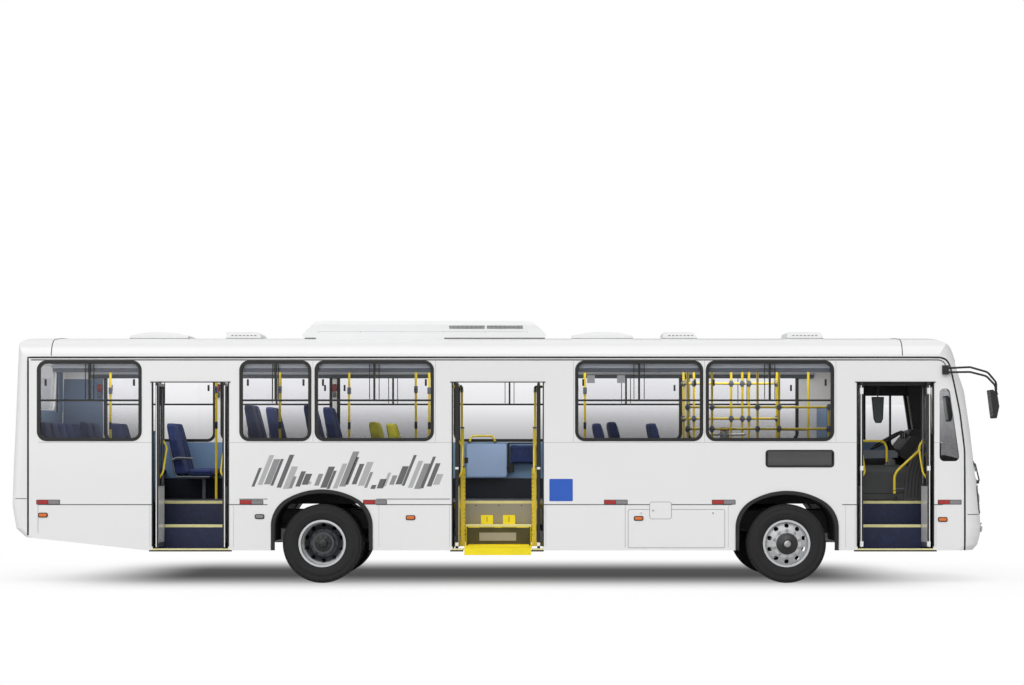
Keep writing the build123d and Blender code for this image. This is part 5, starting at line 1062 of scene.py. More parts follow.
bm = bmesh.new()
x0, x1 = RIGHT_DOORS[1]
add_box(bm, (x0 + 0.004, x1 - 0.004), (WELL_Y - 0.0140, WELL_Y - 0.0118), (0.725, 1.028 - NOSING_H))
finished(bm, "lift_back_riser", "riser_grey", bevel=0.001)
bm = bmesh.new()
for k in range(3):
    add_turned(bm, [(WELL_Y - 0.014, 0.008), (WELL_Y - 0.016, 0.007)], (-0.35 + 0.30 * k, 0, 0.975), steps=16)
finished(bm, "riser_holes", "black_plastic")
print("risers at", {k: round(v, 3) for k, v in risers.items()})

# %% [markdown]
# ## The lift
# The folded lift is a small stair: a ramp flap outside, a low step, a mid step and two stop flaps. The
# telescoping masts get grey collars where one stage leaves the next, a black sleeve on the bend at the
# top, and a guide strip with holes. What moves with the platform rides on the lift's body.

# %% Lift details
LIFT_LOW, LIFT_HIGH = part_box("lift_platform")
LIFT_X = (LIFT_LOW[0] + 0.008, LIFT_HIGH[0] - 0.008)
FLAPS = [(-0.279, -0.122), (0.009, 0.166)]
first = risers["middle"]

# The dark olive sheet on the riser under the mid step, with strips at its sides and ledges under the flaps,
# is painted shade of the yellow lift.
bm = bmesh.new()
front = first - 0.0012
add_box(bm, (LIFT_X[0] + 0.03, LIFT_X[1] - 0.03), (front - 0.003, front), (0.475, 0.690))
for x in LIFT_X:
    inner = 0.012 if x < 0 else -0.030
    add_box(bm, (x + inner, x + inner + 0.018), (front - 0.016, front), (0.46, 0.70))
for xa, xb in FLAPS:
    add_box(bm, (xa - 0.02, xb + 0.02), (front - 0.012, front), (0.672, 0.694))
finished(bm, "lift_front_plate", "painted_shade_olive", "lift", bevel=0.003)
bm = bmesh.new()
add_box(bm, (-0.300, 0.180), (front - 0.006, front - 0.002), (0.520, 0.626))
finished(bm, "lift_blank_plate", "riser_grey", "lift", bevel=0.001)
bm = bmesh.new()
add_box(bm, (LIFT_X[0], LIFT_X[1]), (front - 0.0015, front + 0.045), (0.7305, 0.7345))
add_box(bm, (LIFT_X[0], LIFT_X[1]), (front - 0.0045, front), (0.704, 0.7345))
finished(bm, "lift_step_nosing", "pale_yellow_edge", "lift", bevel=0.001)
bm, slots = bmesh.new(), bmesh.new()
for xa, xb in FLAPS:
    outline = rounded_box_outline((xa, xb), (0.735, 0.855), 0.018)
    add_prism(bm, outline, first + 0.0105, first + 0.0115)
    middle = (xa + xb) / 2
    add_box(slots, (middle - 0.004, middle + 0.004), (first + 0.0095, first + 0.0107), (0.765, 0.835))
    for x in (xa + 0.02, xb - 0.02):
        add_turned(bm, [(first + 0.006, 0.008), (first + 0.0115, 0.008)], (x, 0, 0.75), steps=12)
finished(bm, "lift_flap_faces", "yellow_lift", "lift", bevel=0.001)
finished(slots, "lift_flap_slots", "black_plastic", "lift")
bm = bmesh.new()
outer = LIFT_LOW[1]
path = [(LIFT_X[0], outer - 0.001, 0.472), (LIFT_X[1], outer - 0.001, 0.472)]
add_tube(bm, path, 0.007, 10)
for k in range(9):
    x = LIFT_X[0] + 0.05 + (LIFT_X[1] - LIFT_X[0] - 0.1) * k / 8
    add_box(bm, (x - 0.015, x + 0.015), (-SIDE_Y - 0.001, -1.0), (0.4402, 0.4425))
finished(bm, "lift_ramp_edge_and_ribs", "yellow_lift", "lift", bevel=0.0008)

collar, sleeve, guide = (bmesh.new() for _ in range(3))
for side in (-1, 1):
    edge = LIFT_LOW[0] - 0.060 if side < 0 else LIFT_HIGH[0] + 0.060
    for z, width, depth in ((1.495, 0.060, 0.070), (2.005, 0.045, 0.045)):
        x = sorted((edge + side * 0.002, edge - side * (width + 0.003)))
        add_box(collar, x, (first - 0.003, first + depth + 0.003), (z - 0.022, z + 0.002))
    top = (edge - side * 0.016, first + 0.016)
    add_turned(collar, [(2.455, 0.021), (2.495, 0.021), (2.500, 0.017)], (*top, 0), axis="z", steps=20)
    path = [(*top, 2.490), (*top, 2.530), (top[0] + side * 0.09, top[1], 2.530)]
    add_tube(sleeve, rounded_path(path, 0.038, 7), 0.0175, 14)
    x = edge - side * 0.060
    for k in range(7):
        z = 0.60 + 0.055 * k
        add_turned(
            guide, [(first - 0.001, 0.006), (first + 0.001, 0.006)], (x + side * 0.012, 0, z), steps=12
        )
        add_turned(
            guide, [(first - 0.001, 0.006), (first + 0.001, 0.006)], (x + side * 0.012, 0, z + 0.45),
            steps=12,
        )
finished(collar, "mast_collars", "clamp_grey", bevel=0.002)
finished(sleeve, "mast_bend_sleeves", "black_plastic")
finished(guide, "mast_guide_holes", "black_plastic")
print("lift between x", [round(v, 3) for v in LIFT_X])

# %% [markdown]
# ## Seats
# A bus seat here is a padded back and a padded cushion, held by a bent grey tube that runs down the back
# and under the cushion. One back and one cushion are puffed up with a cloth simulation: the CAD block is
# remeshed, given air pressure for a moment and frozen, so its sides bulge and its edges go round. Every
# seat then shares those two meshes. Piping and sewn channels come after the simulation, because it would
# lose them.

# %% Padded prototypes
VOXEL = 0.0125
PRESSURE = 4.0
PUFF_FRAMES = 16
PUFF_LIMIT = 0.012
SEAM_R = 0.0045


def puffed(bm, name, shrink):
    """Mesh blown up a little like a cushion. The shrink leaves room for the swelling."""
    middle = sum((v.co for v in bm.verts), Vector()) / len(bm.verts)
    size = [max(v.co[i] for v in bm.verts) - min(v.co[i] for v in bm.verts) for i in range(3)]
    for vertex in bm.verts:
        for i in range(3):
            vertex.co[i] = middle[i] + (vertex.co[i] - middle[i]) * (1 - 2 * shrink / size[i])
    mesh = bpy.data.meshes.new(name)
    bm.to_mesh(mesh)
    bm.free()
    pad = bpy.data.objects.new(name, mesh)
    scene.collection.objects.link(pad)
    grid = pad.modifiers.new("even grid", "REMESH")
    grid.mode = "VOXEL"
    grid.voxel_size = VOXEL
    apply_all(pad)
    before = [v.co.copy() for v in pad.data.vertices]
    cloth = pad.modifiers.new("air", "CLOTH")
    cloth.settings.use_pressure = True
    cloth.settings.uniform_pressure_force = PRESSURE
    cloth.settings.effector_weights.gravity = 0.0
    for step in range(1, PUFF_FRAMES + 1):
        scene.frame_set(step)
    apply_all(pad)
    scene.frame_set(1)
    for start, vertex in zip(before, pad.data.vertices):
        move = vertex.co - start
        if move.length > PUFF_LIMIT:
            vertex.co = start + move * (PUFF_LIMIT / move.length)
    smooth = pad.modifiers.new("soft", "SMOOTH")
    smooth.iterations = 6
    apply_all(pad)
    pad.data.shade_smooth()
    result = pad.data
    bpy.data.objects.remove(pad)
    return result


def apply_all(piece):
    """Freeze a piece's modifiers into its mesh."""
    frozen = bpy.data.meshes.new_from_object(piece.evaluated_get(bpy.context.evaluated_depsgraph_get()))
    piece.modifiers.clear()
    piece.data = frozen


def island_mesh(node_name, box):
    """Copy of one solid of a node, moved so that its lowest corner and its middle on Y are at zero."""
    bm = bmesh.new()
    bm.from_mesh(nodes[node_name].data)
    low, high = box
    edge = 1e-4
    outside = [v for v in bm.verts if any(not low[i] - edge < v.co[i] < high[i] + edge for i in range(3))]
    bmesh.ops.delete(bm, geom=outside, context="VERTS")
    bmesh.ops.remove_doubles(bm, verts=bm.verts, dist=1e-5)
    origin = Vector((low[0], (low[1] + high[1]) / 2, low[2]))
    for vertex in bm.verts:
        vertex.co -= origin
    return bm


seat_boxes = {name: islands(name) for name in ("blue_seats", "yellow_seats")}
backs = {name: [b for b in boxes if b[1][2] - b[0][2] > 0.6] for name, boxes in seat_boxes.items()}
cushions = {name: [b for b in boxes if b[1][2] - b[0][2] < 0.15] for name, boxes in seat_boxes.items()}
back_mesh = puffed(island_mesh("blue_seats", backs["blue_seats"][0]), "seat_back", 0.009)
cushion_mesh = puffed(island_mesh("blue_seats", cushions["blue_seats"][0]), "seat_cushion", 0.009)
print("seats:", {name: len(b) for name, b in backs.items()}, "back vertices", len(back_mesh.vertices))

# %% [markdown]
# The piping follows the front edges of the back and the cushion. The back also has two upright channels
# and a cross seam under its headrest, laid on the puffed surface by shooting a ray at it for each point, so
# that the thread always lies on the cloth.

# %% Piping, shells and the seats in their places
def laid_on(mesh, points, direction, lift):
    """Points moved along a direction until they lie on a mesh."""
    bm = bmesh.new()
    bm.from_mesh(mesh)
    tree = BVHTree.FromBMesh(bm)
    direction = Vector(direction)
    path = []
    for point in points:
        start = Vector(point) - direction * 0.5
        hit = tree.ray_cast(start, direction, 1.0)[0]
        if hit:
            path.append(hit - direction * lift)
    bm.free()
    return path


def between(a, b, count):
    """Evenly spaced points from a to b."""
    return [Vector(a).lerp(Vector(b), i / (count - 1)) for i in range(count)]


def merged(mesh, bm_extra):
    """Bmesh of a mesh together with extra mesh code."""
    whole = bmesh.new()
    whole.from_mesh(mesh)
    extra = bpy.data.meshes.new("extra")
    bm_extra.to_mesh(extra)
    whole.from_mesh(extra)
    bm_extra.free()
    return whole


SEAT_HALF = 0.215
threads = bmesh.new()
for y in (-0.085, 0.085):
    line = laid_on(back_mesh, between((0.2, y, 0.06), (0.2, y, 0.66), 22), (-1, 0, 0), 0.0)
    add_tube(threads, line, SEAM_R * 0.7, 6)
line = laid_on(back_mesh, between((0.2, -0.17, 0.47), (0.2, 0.17, 0.47), 14), (-1, 0, 0), 0.0)
add_tube(threads, line, SEAM_R * 0.7, 6)
rim = between(
    (0.2, -0.198, 0.03), (0.2, -0.198, 0.47), 16
) + between((0.2, -0.190, 0.50), (0.2, -0.140, 0.68), 8)
rim += between((0.2, -0.10, 0.70), (0.2, 0.10, 0.70), 10)
rim += between(
    (0.2, 0.140, 0.68), (0.2, 0.190, 0.50), 8
) + between((0.2, 0.198, 0.47), (0.2, 0.198, 0.03), 16)
add_tube(threads, laid_on(back_mesh, rim, (-1, 0, 0), 0.0), SEAM_R, 8)
back_whole = merged(back_mesh, threads)
threads = bmesh.new()
for y in (-0.085, 0.085):
    add_tube(
        threads, laid_on(cushion_mesh, between((0.03, y, 0.3), (0.33, y, 0.3), 14), (0, 0, -1), 0.0),
        SEAM_R * 0.7, 6,
    )
rim = between(
    (0.02, -0.195, 0.3), (0.335, -0.195, 0.3), 14
) + between((0.345, -0.18, 0.3), (0.345, 0.18, 0.3), 14)
rim += between((0.335, 0.195, 0.3), (0.02, 0.195, 0.3), 14)
add_tube(threads, laid_on(cushion_mesh, rim, (0, 0, -1), 0.0), SEAM_R, 8)
cushion_whole = merged(cushion_mesh, threads)


def shared_mesh(bm, name):
    """Mesh that several pieces share."""
    mesh = bpy.data.meshes.new(name)
    bm.to_mesh(mesh)
    bm.free()
    mesh.shade_smooth()
    mesh.set_sharp_from_angle(angle=math.radians(70))
    return mesh


seat_meshes = {
    "back": shared_mesh(back_whole, "back_pad"), "cushion": shared_mesh(cushion_whole, "cushion_pad")
}
count = 0
for name, kinds in (("blue_seats", ("blue_seat",)), ("yellow_seats", ("yellow_seat",))):
    for part, boxes in (("back", backs[name]), ("cushion", cushions[name])):
        mesh = seat_meshes[part].copy()
        mesh.materials.clear()
        mesh.materials.append(finishes[kinds[0]])
        for number, (low, high) in enumerate(boxes, 1):
            pad = bpy.data.objects.new(f"{name}_{part}_{number}", mesh)
            scene.collection.objects.link(pad)
            pad.location = (low[0], (low[1] + high[1]) / 2, low[2])
            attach(pad, "bus")
            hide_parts(name)
            count += 1
print(count, "padded pieces")

# %% [markdown]
# The shells are bent tubes with a thin moulded pan between them, and the aisle seat of each pair gets an
# armrest. The folded seat on the wall is padded as well.

# %% Seat shells, armrests and the folded seat
TUBE = 0.011
shell, arms = bmesh.new(), bmesh.new()
for name in ("blue_seats", "yellow_seats"):
    for low, high in backs[name]:
        middle = (low[1] + high[1]) / 2
        x, z = low[0], low[2]
        for y in (middle - SEAT_HALF + 0.012, middle + SEAT_HALF - 0.012):
            path = [
                (x + 0.070, y, z + 0.36), (x + 0.136, y, z + 0.02), (x + 0.165, y, z - 0.010),
                (x + 0.60, y, z - 0.010),
            ]
            add_tube(shell, rounded_path(path, 0.06, 6), TUBE, 8)
        add_box(shell, (x + 0.16, x + 0.60), (middle - 0.19, middle + 0.19), (z - 0.010, z - 0.004))
        sheet = [(x + 0.060, z + 0.40), (x + 0.066, z + 0.40), (x + 0.146, z + 0.004), (x + 0.136, z + 0.004)]
        add_prism(shell, sheet, middle - 0.185, middle + 0.185)
        if 0.4 < abs(middle) < 0.7 and abs(low[0]) < 5.9:
            y = middle - (SEAT_HALF + 0.002) * (1 if middle > 0 else -1)
            path = [
                (x + 0.10, y, z + 0.215), (x + 0.16, y, z + 0.245), (x + 0.36, y, z + 0.235),
                (x + 0.375, y, z + 0.222),
            ]
            add_tube(arms, rounded_path(path, 0.02, 4), 0.016, 10, flat=1.3)
finished(shell, "seat_shells", "seat_grey")
finished(arms, "seat_armrests", "seat_grey")

flip_low, flip_high = [b for b in seat_boxes["blue_seats"] if b[0][1] > 1.0][0]
flip = puffed(island_mesh("blue_seats", (flip_low, flip_high)), "folded_seat", 0.010)
flip.materials.append(finishes["blue_seat"])
pad = bpy.data.objects.new("folded_seat_pad", flip)
scene.collection.objects.link(pad)
pad.location = (flip_low[0], (flip_low[1] + flip_high[1]) / 2, flip_low[2])
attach(pad, "bus")
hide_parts("blue_seats")
print("shells and armrests laid")

# %% [markdown]
# The driver's seat has a thick cushion and a tall back. Its two blocks are puffed in the same way as the
# others, straight from their CAD solids, because it is the only one of its kind.

# %% Driver's seat
driver = islands("driver_seat")
for number, box in enumerate(driver, 1):
    part = puffed(island_mesh("driver_seat", box), f"driver_pad_{number}", 0.010)
    part.materials.append(finishes["driver_seat_cloth"])
    pad = bpy.data.objects.new(f"driver_seat_pad_{number}", part)
    scene.collection.objects.link(pad)
    low, high = box
    pad.location = (low[0], (low[1] + high[1]) / 2, low[2])
    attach(pad, "bus")
    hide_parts("driver_seat")
print("driver's seat in", len(driver), "pads")

# %% [markdown]
# ## Cabin linings
# Inside, the wall below the windows is a light blue board with a darker skirting, and an air duct runs
# along each side where the wall meets the ceiling: a grey lip, a pale face and a grey return. Strip lights
# sit on the ceiling. They hide the bare inner sheet and give the windows something to show.

# %% Linings, ducts and ceiling lights
WALL_IN = 1.200
FLOOR_TOP = 1.030
LINING_Z = (1.315, 1.812)
DUCT_X = (-5.75, 4.30)
DUCT_FACES = [  # finish, (y, z) outline on the left side
    ("clamp_grey", [(1.198, 2.700), (1.150, 2.705), (1.120, 2.752), (1.198, 2.752)]),
    ("pale_lining", [(1.198, 2.753), (1.119, 2.753), (1.085, 2.835), (1.198, 2.835)]),
    ("seat_grey", [(1.198, 2.836), (1.084, 2.836), (1.030, 2.905), (1.150, 2.905)]),
]

boards, skirting = bmesh.new(), bmesh.new()
for side, doors in ((-1, RIGHT_DOORS), (1, [])):
    gaps = [(a - 0.02, b + 0.02) for a, b in doors]
    for x in clear_spans((-5.90, 5.30), gaps):
        y = sorted((side * (WALL_IN - 0.0005), side * (WALL_IN - 0.006)))
        add_box(boards, x, y, LINING_Z)
        y = sorted((side * (WALL_IN - 0.0005), side * (WALL_IN - 0.010)))
        for span in clear_spans(x, WHEEL_SPANS):
            add_box(skirting, span, y, (FLOOR_TOP + 0.001, LINING_Z[0] - 0.003))
finished(boards, "wall_linings", "light_blue_panel", bevel=0.001)
finished(skirting, "wall_skirtings", "skirting_navy", bevel=0.001)
bm = bmesh.new()
add_box(bm, (-6.135, -5.585), (WALL_IN - 0.006, WALL_IN - 0.0005), (LINING_Z[1] + 0.003, 2.690))
for y, z in (
    ((-1.15, 1.15), (1.815, 2.235)), ((-1.15, -0.92), (2.235, 2.860)), ((0.92, 1.19), (2.235, 2.860))
):
    add_box(bm, (-6.150, -6.140), y, z)
finished(bm, "rear_corner_linings", "blue_lining", bevel=0.001)
for finish, outline in DUCT_FACES:
    bm = bmesh.new()
    for side in (-1, 1):
        add_prism(bm, [(side * y, z) for y, z in outline], *DUCT_X, axis="x")
    finished(bm, f"ceiling_duct_{finish}", finish, bevel=0.002)
bm = bmesh.new()
for side in (-1, 1):
    for x in (-4.6, -2.9, -1.2, 0.5, 2.2, 3.6):
        outline = [(side * 0.60, 3.096), (side * 0.62, 3.072), (side * 0.74, 3.068), (side * 0.76, 3.090)]
        add_prism(bm, outline, x - 0.55, x + 0.55, axis="x")
finished(bm, "ceiling_lights", "white_plastic", bevel=0.003)
print("linings and ducts on both sides")

# %% [markdown]
# ## Rail clamps, catches and small fittings
# Where two yellow rails cross they are held by a grey two-part clamp. They are found, not listed: any
# upright solid of the rail node that ends just beside a level one gets a clamp there. Each sliding pane
# has two black catches, and each side window has a thin rubber lip.

# %% Clamps and catches
RAIL_R = 0.016
RAIL_REACH = 0.02  # how near a level rail has to pass
rails = islands("handrails")
uprights = [b for b in rails if b[1][2] - b[0][2] > 2.5 * RAIL_R]
levels = [b for b in rails if b[1][2] - b[0][2] <= 2.5 * RAIL_R]
clamps = set()
for low, high in uprights:
    x, y = (low[0] + high[0]) / 2, (low[1] + high[1]) / 2
    for z_end in (low[2], high[2]):
        for other_low, other_high in levels:
            z = (other_low[2] + other_high[2]) / 2
            near = [other_low[i] - RAIL_REACH < v < other_high[i] + RAIL_REACH for i, v in enumerate((x, y))]
            if all(near) and abs(z - z_end) < 2 * RAIL_R:
                clamps.add((round(x, 3), round(y, 3), round(z, 3)))

bm = bmesh.new()
for x, y, z in sorted(clamps):
    add_turned(
        bm, [(z - 0.040, 0.021), (z - 0.036, 0.023), (z + 0.036, 0.023), (z + 0.040, 0.021)], (x, y, 0),
        axis="z", steps=16,
    )
    add_turned(
        bm, [(x - 0.034, 0.021), (x - 0.030, 0.022), (x + 0.030, 0.022), (x + 0.034, 0.021)], (0, y, z),
        axis="x", steps=16,
    )
for low, high in uprights:
    x, y = (low[0] + high[0]) / 2, (low[1] + high[1]) / 2
    if low[2] < 1.30:
        z = low[2]
        add_turned(
            bm, [(z + 0.001, 0.042), (z + 0.005, 0.042), (z + 0.007, 0.026), (z + 0.030, 0.020)], (x, y, 0),
            axis="z", steps=20,
        )
    if high[2] > 3.0:
        z = high[2]
        add_turned(
            bm, [(z - 0.030, 0.020), (z - 0.008, 0.026), (z - 0.006, 0.040), (z - 0.003, 0.040)], (x, y, 0),
            axis="z", steps=20,
        )
finished(bm, "rail_clamps", "clamp_grey", bevel=0.001)

grips, buttons = bmesh.new(), bmesh.new()
for low, high in uprights:
    x, y = (low[0] + high[0]) / 2, (low[1] + high[1]) / 2
    if high[2] - low[2] > 1.4 and x < 2.0:
        add_turned(
            grips, [(1.985, 0.0175), (1.99, 0.0195), (2.075, 0.0195), (2.08, 0.0175)], (x, y, 0), axis="z",
            steps=16,
        )
        add_turned(
            buttons, [(2.46, 0.022), (2.465, 0.026), (2.545, 0.026), (2.55, 0.022)], (x, y, 0), axis="z",
            steps=16,
        )
        side = -1 if y < 0 else 1
        add_turned(
            grips, [(y + side * 0.020, 0.012), (y + side * 0.034, 0.011), (y + side * 0.036, 0.007)],
            (x, 0, 2.505), steps=14,
        )
finished(grips, "rail_grips", "black_plastic")
finished(buttons, "rail_button_boxes", "clamp_grey")

RIGHT_WINDOWS = [(-5.944, -4.603), (-3.355, -2.433), (-2.393, -0.866), (0.939, 2.578), (2.609, 4.253)]
LEFT_WINDOWS = [(-5.574 + 1.622 * k, -4.014 + 1.622 * k) for k in range(6)]
catches, lips = bmesh.new(), bmesh.new()
for side, windows in ((-1, RIGHT_WINDOWS), (1, LEFT_WINDOWS)):
    for x0, x1 in windows:
        for x in (x0 + 0.105, x1 - 0.105):
            y = sorted((side * (SIDE_Y - 0.018), side * (SIDE_Y - 0.046)))
            add_box(catches, (x - 0.013, x + 0.013), y, (2.525, 2.610))
            y = sorted((side * (SIDE_Y - 0.030), side * (SIDE_Y - 0.058)))
            add_box(catches, (x - 0.007, x + 0.007), y, (2.555, 2.580))
        for x in (x0 + 0.46 * (x1 - x0), x0 + 0.54 * (x1 - x0)):
            y = sorted((side * (SIDE_Y - 0.012), side * (SIDE_Y - 0.024)))
            add_box(lips, (x - 0.005, x + 0.005), y, (2.355, 2.800))
finished(catches, "window_catches", "black_plastic", bevel=0.003)
finished(lips, "sliding_pane_edges", "black_rubber", bevel=0.001)
print(len(clamps), "clamps")

# %% [markdown]
# ## The wheelchair place
# The padded backrest board has a bent yellow rail on top with grey feet, a rounded foot and a strap reel
# beside it. The folded seat hangs from a black frame.

# %% Wheelchair place
low, high = [b for b in islands("screens") if b[0][1] > 1.0 and b[1][2] < 1.9][0]
bm = bmesh.new()
face = low[1]
path = [(low[0] + 0.045, face + 0.03, high[2] + 0.006), (low[0] + 0.075, face + 0.03, high[2] + 0.100),
        (low[0] + 0.375, face + 0.03, high[2] + 0.100), (low[0] + 0.405, face + 0.03, high[2] + 0.006)]
add_tube(bm, rounded_path(path, 0.06, 7), 0.014, 14)
finished(bm, "backrest_rail", "yellow_tube")
bm = bmesh.new()
for x, y, z in (path[0], path[-1]):
    add_turned(
        bm, [(z - 0.030, 0.032), (z - 0.006, 0.030), (z + 0.006, 0.020), (z + 0.020, 0.018)], (x, y, 0),
        axis="z", steps=18,
    )
add_box(bm, (high[0] + 0.006, high[0] + 0.026), (face + 0.005, 1.195), (1.50, 1.80))
add_box(bm, (high[0] + 0.004, high[0] + 0.090), (face + 0.010, 1.190), (1.40, 1.50))
add_box(bm, (low[0] - 0.030, low[0] + 0.030), (face - 0.006, face + 0.004), (1.52, 1.60))
finished(bm, "backrest_fittings", "black_plastic", bevel=0.006)
bm = bmesh.new()
outline = rounded_box_outline((low[0] + 0.012, high[0] - 0.012), (low[2] + 0.012, high[2] - 0.012), 0.03)
add_prism(bm, outline, face - 0.004, face + 0.004)
finished(bm, "backrest_cover", "backrest_blue", bevel=0.0035)
bm = bmesh.new()
frame_x = (flip_low[0] - 0.022, flip_high[0] + 0.022)
path = [
    (frame_x[0], 1.150, 1.50), (frame_x[0], 1.120, 1.80), (frame_x[1], 1.120, 1.80),
    (frame_x[1], 1.150, 1.50),
]
add_tube(bm, rounded_path(path, 0.03), 0.010, 8)
for x in frame_x:
    add_box(bm, (x - 0.010, x + 0.010), (1.10, 1.196), (1.44, 1.49))
finished(bm, "folded_seat_frame", "black_plastic", bevel=0.002)
print("wheelchair place fitted")

# %% [markdown]
# ## The driver's end
# The engine stands under a moulded cover beside the driver. It has a folded lower edge, a lid seam and a
# yellow rail on top, with a grey coin tray behind it. A slanted yellow rail guards the step. Above hangs
# the inner mirror on its stalk, and the dashboard gets a hood with round dials, a row of switches and
# pedals.

# %% Engine cover, rails, tray and mirror
MIRROR_SHIFT = 0.195
cover_low, cover_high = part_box("engine_cover")
bm = bmesh.new()
seam = [(cover_low[0] + 0.04, cover_low[1] - 0.001, 1.13), (cover_high[0] - 0.16, cover_low[1] - 0.001, 1.13),
        (cover_high[0] - 0.02, cover_low[1] - 0.001, 1.22)]
add_tube(bm, rounded_path(seam, 0.08), 0.005, 8)
for x in (cover_low[0] + 0.18, cover_high[0] - 0.22):
    add_turned(
        bm, [(cover_low[1] + 0.002, 0.016), (cover_low[1] - 0.004, 0.014), (cover_low[1] - 0.005, 0.008)],
        (x, 0, 1.075), steps=16,
    )
add_box(
    bm, (cover_low[0] + 0.012, cover_high[0] - 0.03), (cover_low[1] - 0.004, cover_low[1] + 0.006),
    (1.032, 1.050),
)
finished(bm, "engine_cover_seam", "black_rubber", bevel=0.0015)
rail = bmesh.new()
y = -0.27
path = [(4.70, y, 1.50), (4.70, y, 1.822), (5.035, y, 1.822), (5.083, y, 1.750), (5.083, y, 1.50)]
add_tube(rail, rounded_path(path, 0.08, 6), 0.0155, 14)
y = -0.60
path = [(5.131, y, 1.18), (5.131, y, 1.363), (5.165, y, 1.43), (5.461, y, 1.703), (5.478, y, 1.80)]
add_tube(rail, rounded_path(path, 0.07, 6), 0.0165, 14)
path = [(5.461, y, 1.69), (5.512, y, 1.402), (5.572, y, 1.33)]
add_tube(rail, rounded_path(path, 0.06, 6), 0.0135, 14)
add_turned(rail, [(1.135, 0.018), (1.170, 0.019)], (5.131, y, 0), axis="z", steps=16)
finished(rail, "driver_end_rails", "yellow_tube")
bm = bmesh.new()
for x, y0, z in ((4.70, -0.27, 1.505), (5.083, -0.27, 1.505)):
    add_turned(
        bm, [(z, 0.030), (z + 0.008, 0.029), (z + 0.014, 0.020), (z + 0.045, 0.018)], (x, y0, 0), axis="z",
        steps=16,
    )
add_tube(bm, [(5.100, y, 1.196), (5.27, y + 0.02, 1.200)], 0.007, 8)
outline = [(4.62, 1.585), (5.235, 1.600), (5.240, 1.665), (5.20, 1.700), (4.62, 1.712)]
add_prism(bm, outline, -0.22, 0.14)
finished(bm, "coin_tray", "clamp_grey", bevel=0.012)
bm = bmesh.new()
outline = [(x + MIRROR_SHIFT, z) for x, z in
           [(4.735, 2.415), (4.900, 2.415), (4.888, 2.120), (4.862, 2.065), (4.790, 2.065), (4.762, 2.12)]]
add_prism(bm, outline, 0.020, 0.060)
add_tube(
    bm,
    rounded_path([(5.015, 0.05, 2.40), (5.015, 0.06, 2.56), (5.15, 0.10, 2.68), (5.30, 0.16, 2.75)], 0.06),
    0.010, 8,
)
finished(bm, "inner_mirror", "black_plastic", bevel=0.012)
bm = bmesh.new()
outline = [(x + MIRROR_SHIFT, z) for x, z in
           [(4.745, 2.405), (4.890, 2.405), (4.879, 2.122), (4.857, 2.075), (4.795, 2.075), (4.770, 2.122)]]
add_prism(bm, outline, 0.0165, 0.0195)
finished(bm, "inner_mirror_glass", "mirror_dark", bevel=0.001)
bm = bmesh.new()
add_box(bm, (4.56, 5.56), (-1.19, 1.18), (2.60, 2.66))
outline = [(4.56, 2.64), (5.60, 2.64), (5.60, 2.80), (5.10, 2.90), (4.56, 2.90)]
add_prism(bm, outline, -1.19, 1.18)
add_box(bm, (4.56, 5.62), (1.135, 1.192), (2.457, 2.64))
add_prism(bm, [(5.715, 1.66), (5.90, 1.66), (5.83, 2.40), (5.74, 2.80), (5.55, 2.80)], 1.05, 1.12)
add_box(bm, (4.56, 5.45), (-1.18, -1.02), (2.53, 2.62))
finished(bm, "cab_header", "black_plastic", bevel=0.012)
bm = bmesh.new()
outline = [(5.275, 1.035), (5.560, 1.035), (5.565, 1.740), (5.500, 1.800), (5.400, 1.640), (5.310, 1.400)]
add_prism(bm, outline, -0.425, -0.384)
finished(bm, "engine_side_fascia", "grey_cover", bevel=0.012)
bm = bmesh.new()
for k in range(4):
    x = 5.330 + 0.045 * k
    line = [
        (x, -0.427, 1.075), (x + 0.015, -0.427, 1.36), (x + 0.075, -0.427, 1.58),
        (min(x + 0.14, 5.545), -0.427, 1.70),
    ]
    add_tube(bm, rounded_path(line, 0.15, 6), 0.005, 8)
finished(bm, "engine_side_fascia_ribs", "black_plastic")
print("driver's end fitted")

# %% [markdown]
# ### Dashboard
# The dashboard's hood is one outline pulled across the bus. Dials are short turned discs with a needle
# each, and switches and pedals are rows of small blocks, made by loops, since only their rhythm shows from
# outside. Ribs on the fascia below catch a little light through the front door.

# %% Dashboard
bm, dials, needles = bmesh.new(), bmesh.new(), bmesh.new()
hood = [(5.46, 1.86), (5.50, 1.965), (5.60, 1.990), (5.78, 1.950), (5.86, 1.84)]
add_prism(bm, hood, 0.36, 1.02)
for k, y in enumerate((0.52, 0.69, 0.86)):
    radius = (0.045, 0.062, 0.045)[k]
    add_turned(
        dials, [(5.452, radius), (5.466, radius), (5.470, radius * 0.9)], (0, y, 1.895), axis="x", steps=28
    )
    add_box(needles, (5.448, 5.4515), (y - 0.002, y + 0.002), (1.895, 1.895 + radius * 0.8))
for k in range(8):
    y = 0.20 + 0.028 * k
    add_box(dials, (5.318, 5.332), (y, y + 0.020), (1.640, 1.680))
for k, y in enumerate((0.50, 0.68, 0.86)):
    add_box(dials, (5.395, 5.425), (y - 0.035, y + 0.035), (1.09, 1.21))
finished(bm, "dash_hood", "black_plastic", bevel=0.015)
finished(dials, "dials_switches_and_pedals", "hub_black", bevel=0.002)
finished(needles, "needles", "white_paint")
fascia = bmesh.new()
for k in range(9):
    x = 5.548 + 0.006 * k
    z = 1.06 + 0.058 * k
    add_box(fascia, (x - 0.006, x + 0.012), (-0.98, 0.13), (z, z + 0.020))
finished(fascia, "fascia_ribs", "black_plastic", bevel=0.005)
print("dashboard dressed")

# %% [markdown]
# ## Lines that follow the curved ends
# The nose and the tail are curved both ways, so seams, wipers and lamps there are not placed by hand. A
# ray is shot at the body from outside for each point of a line, and the line lies where the rays land.
# The thick dark joint of the front cap, the bumper seams and the bright grille bars are all made so.

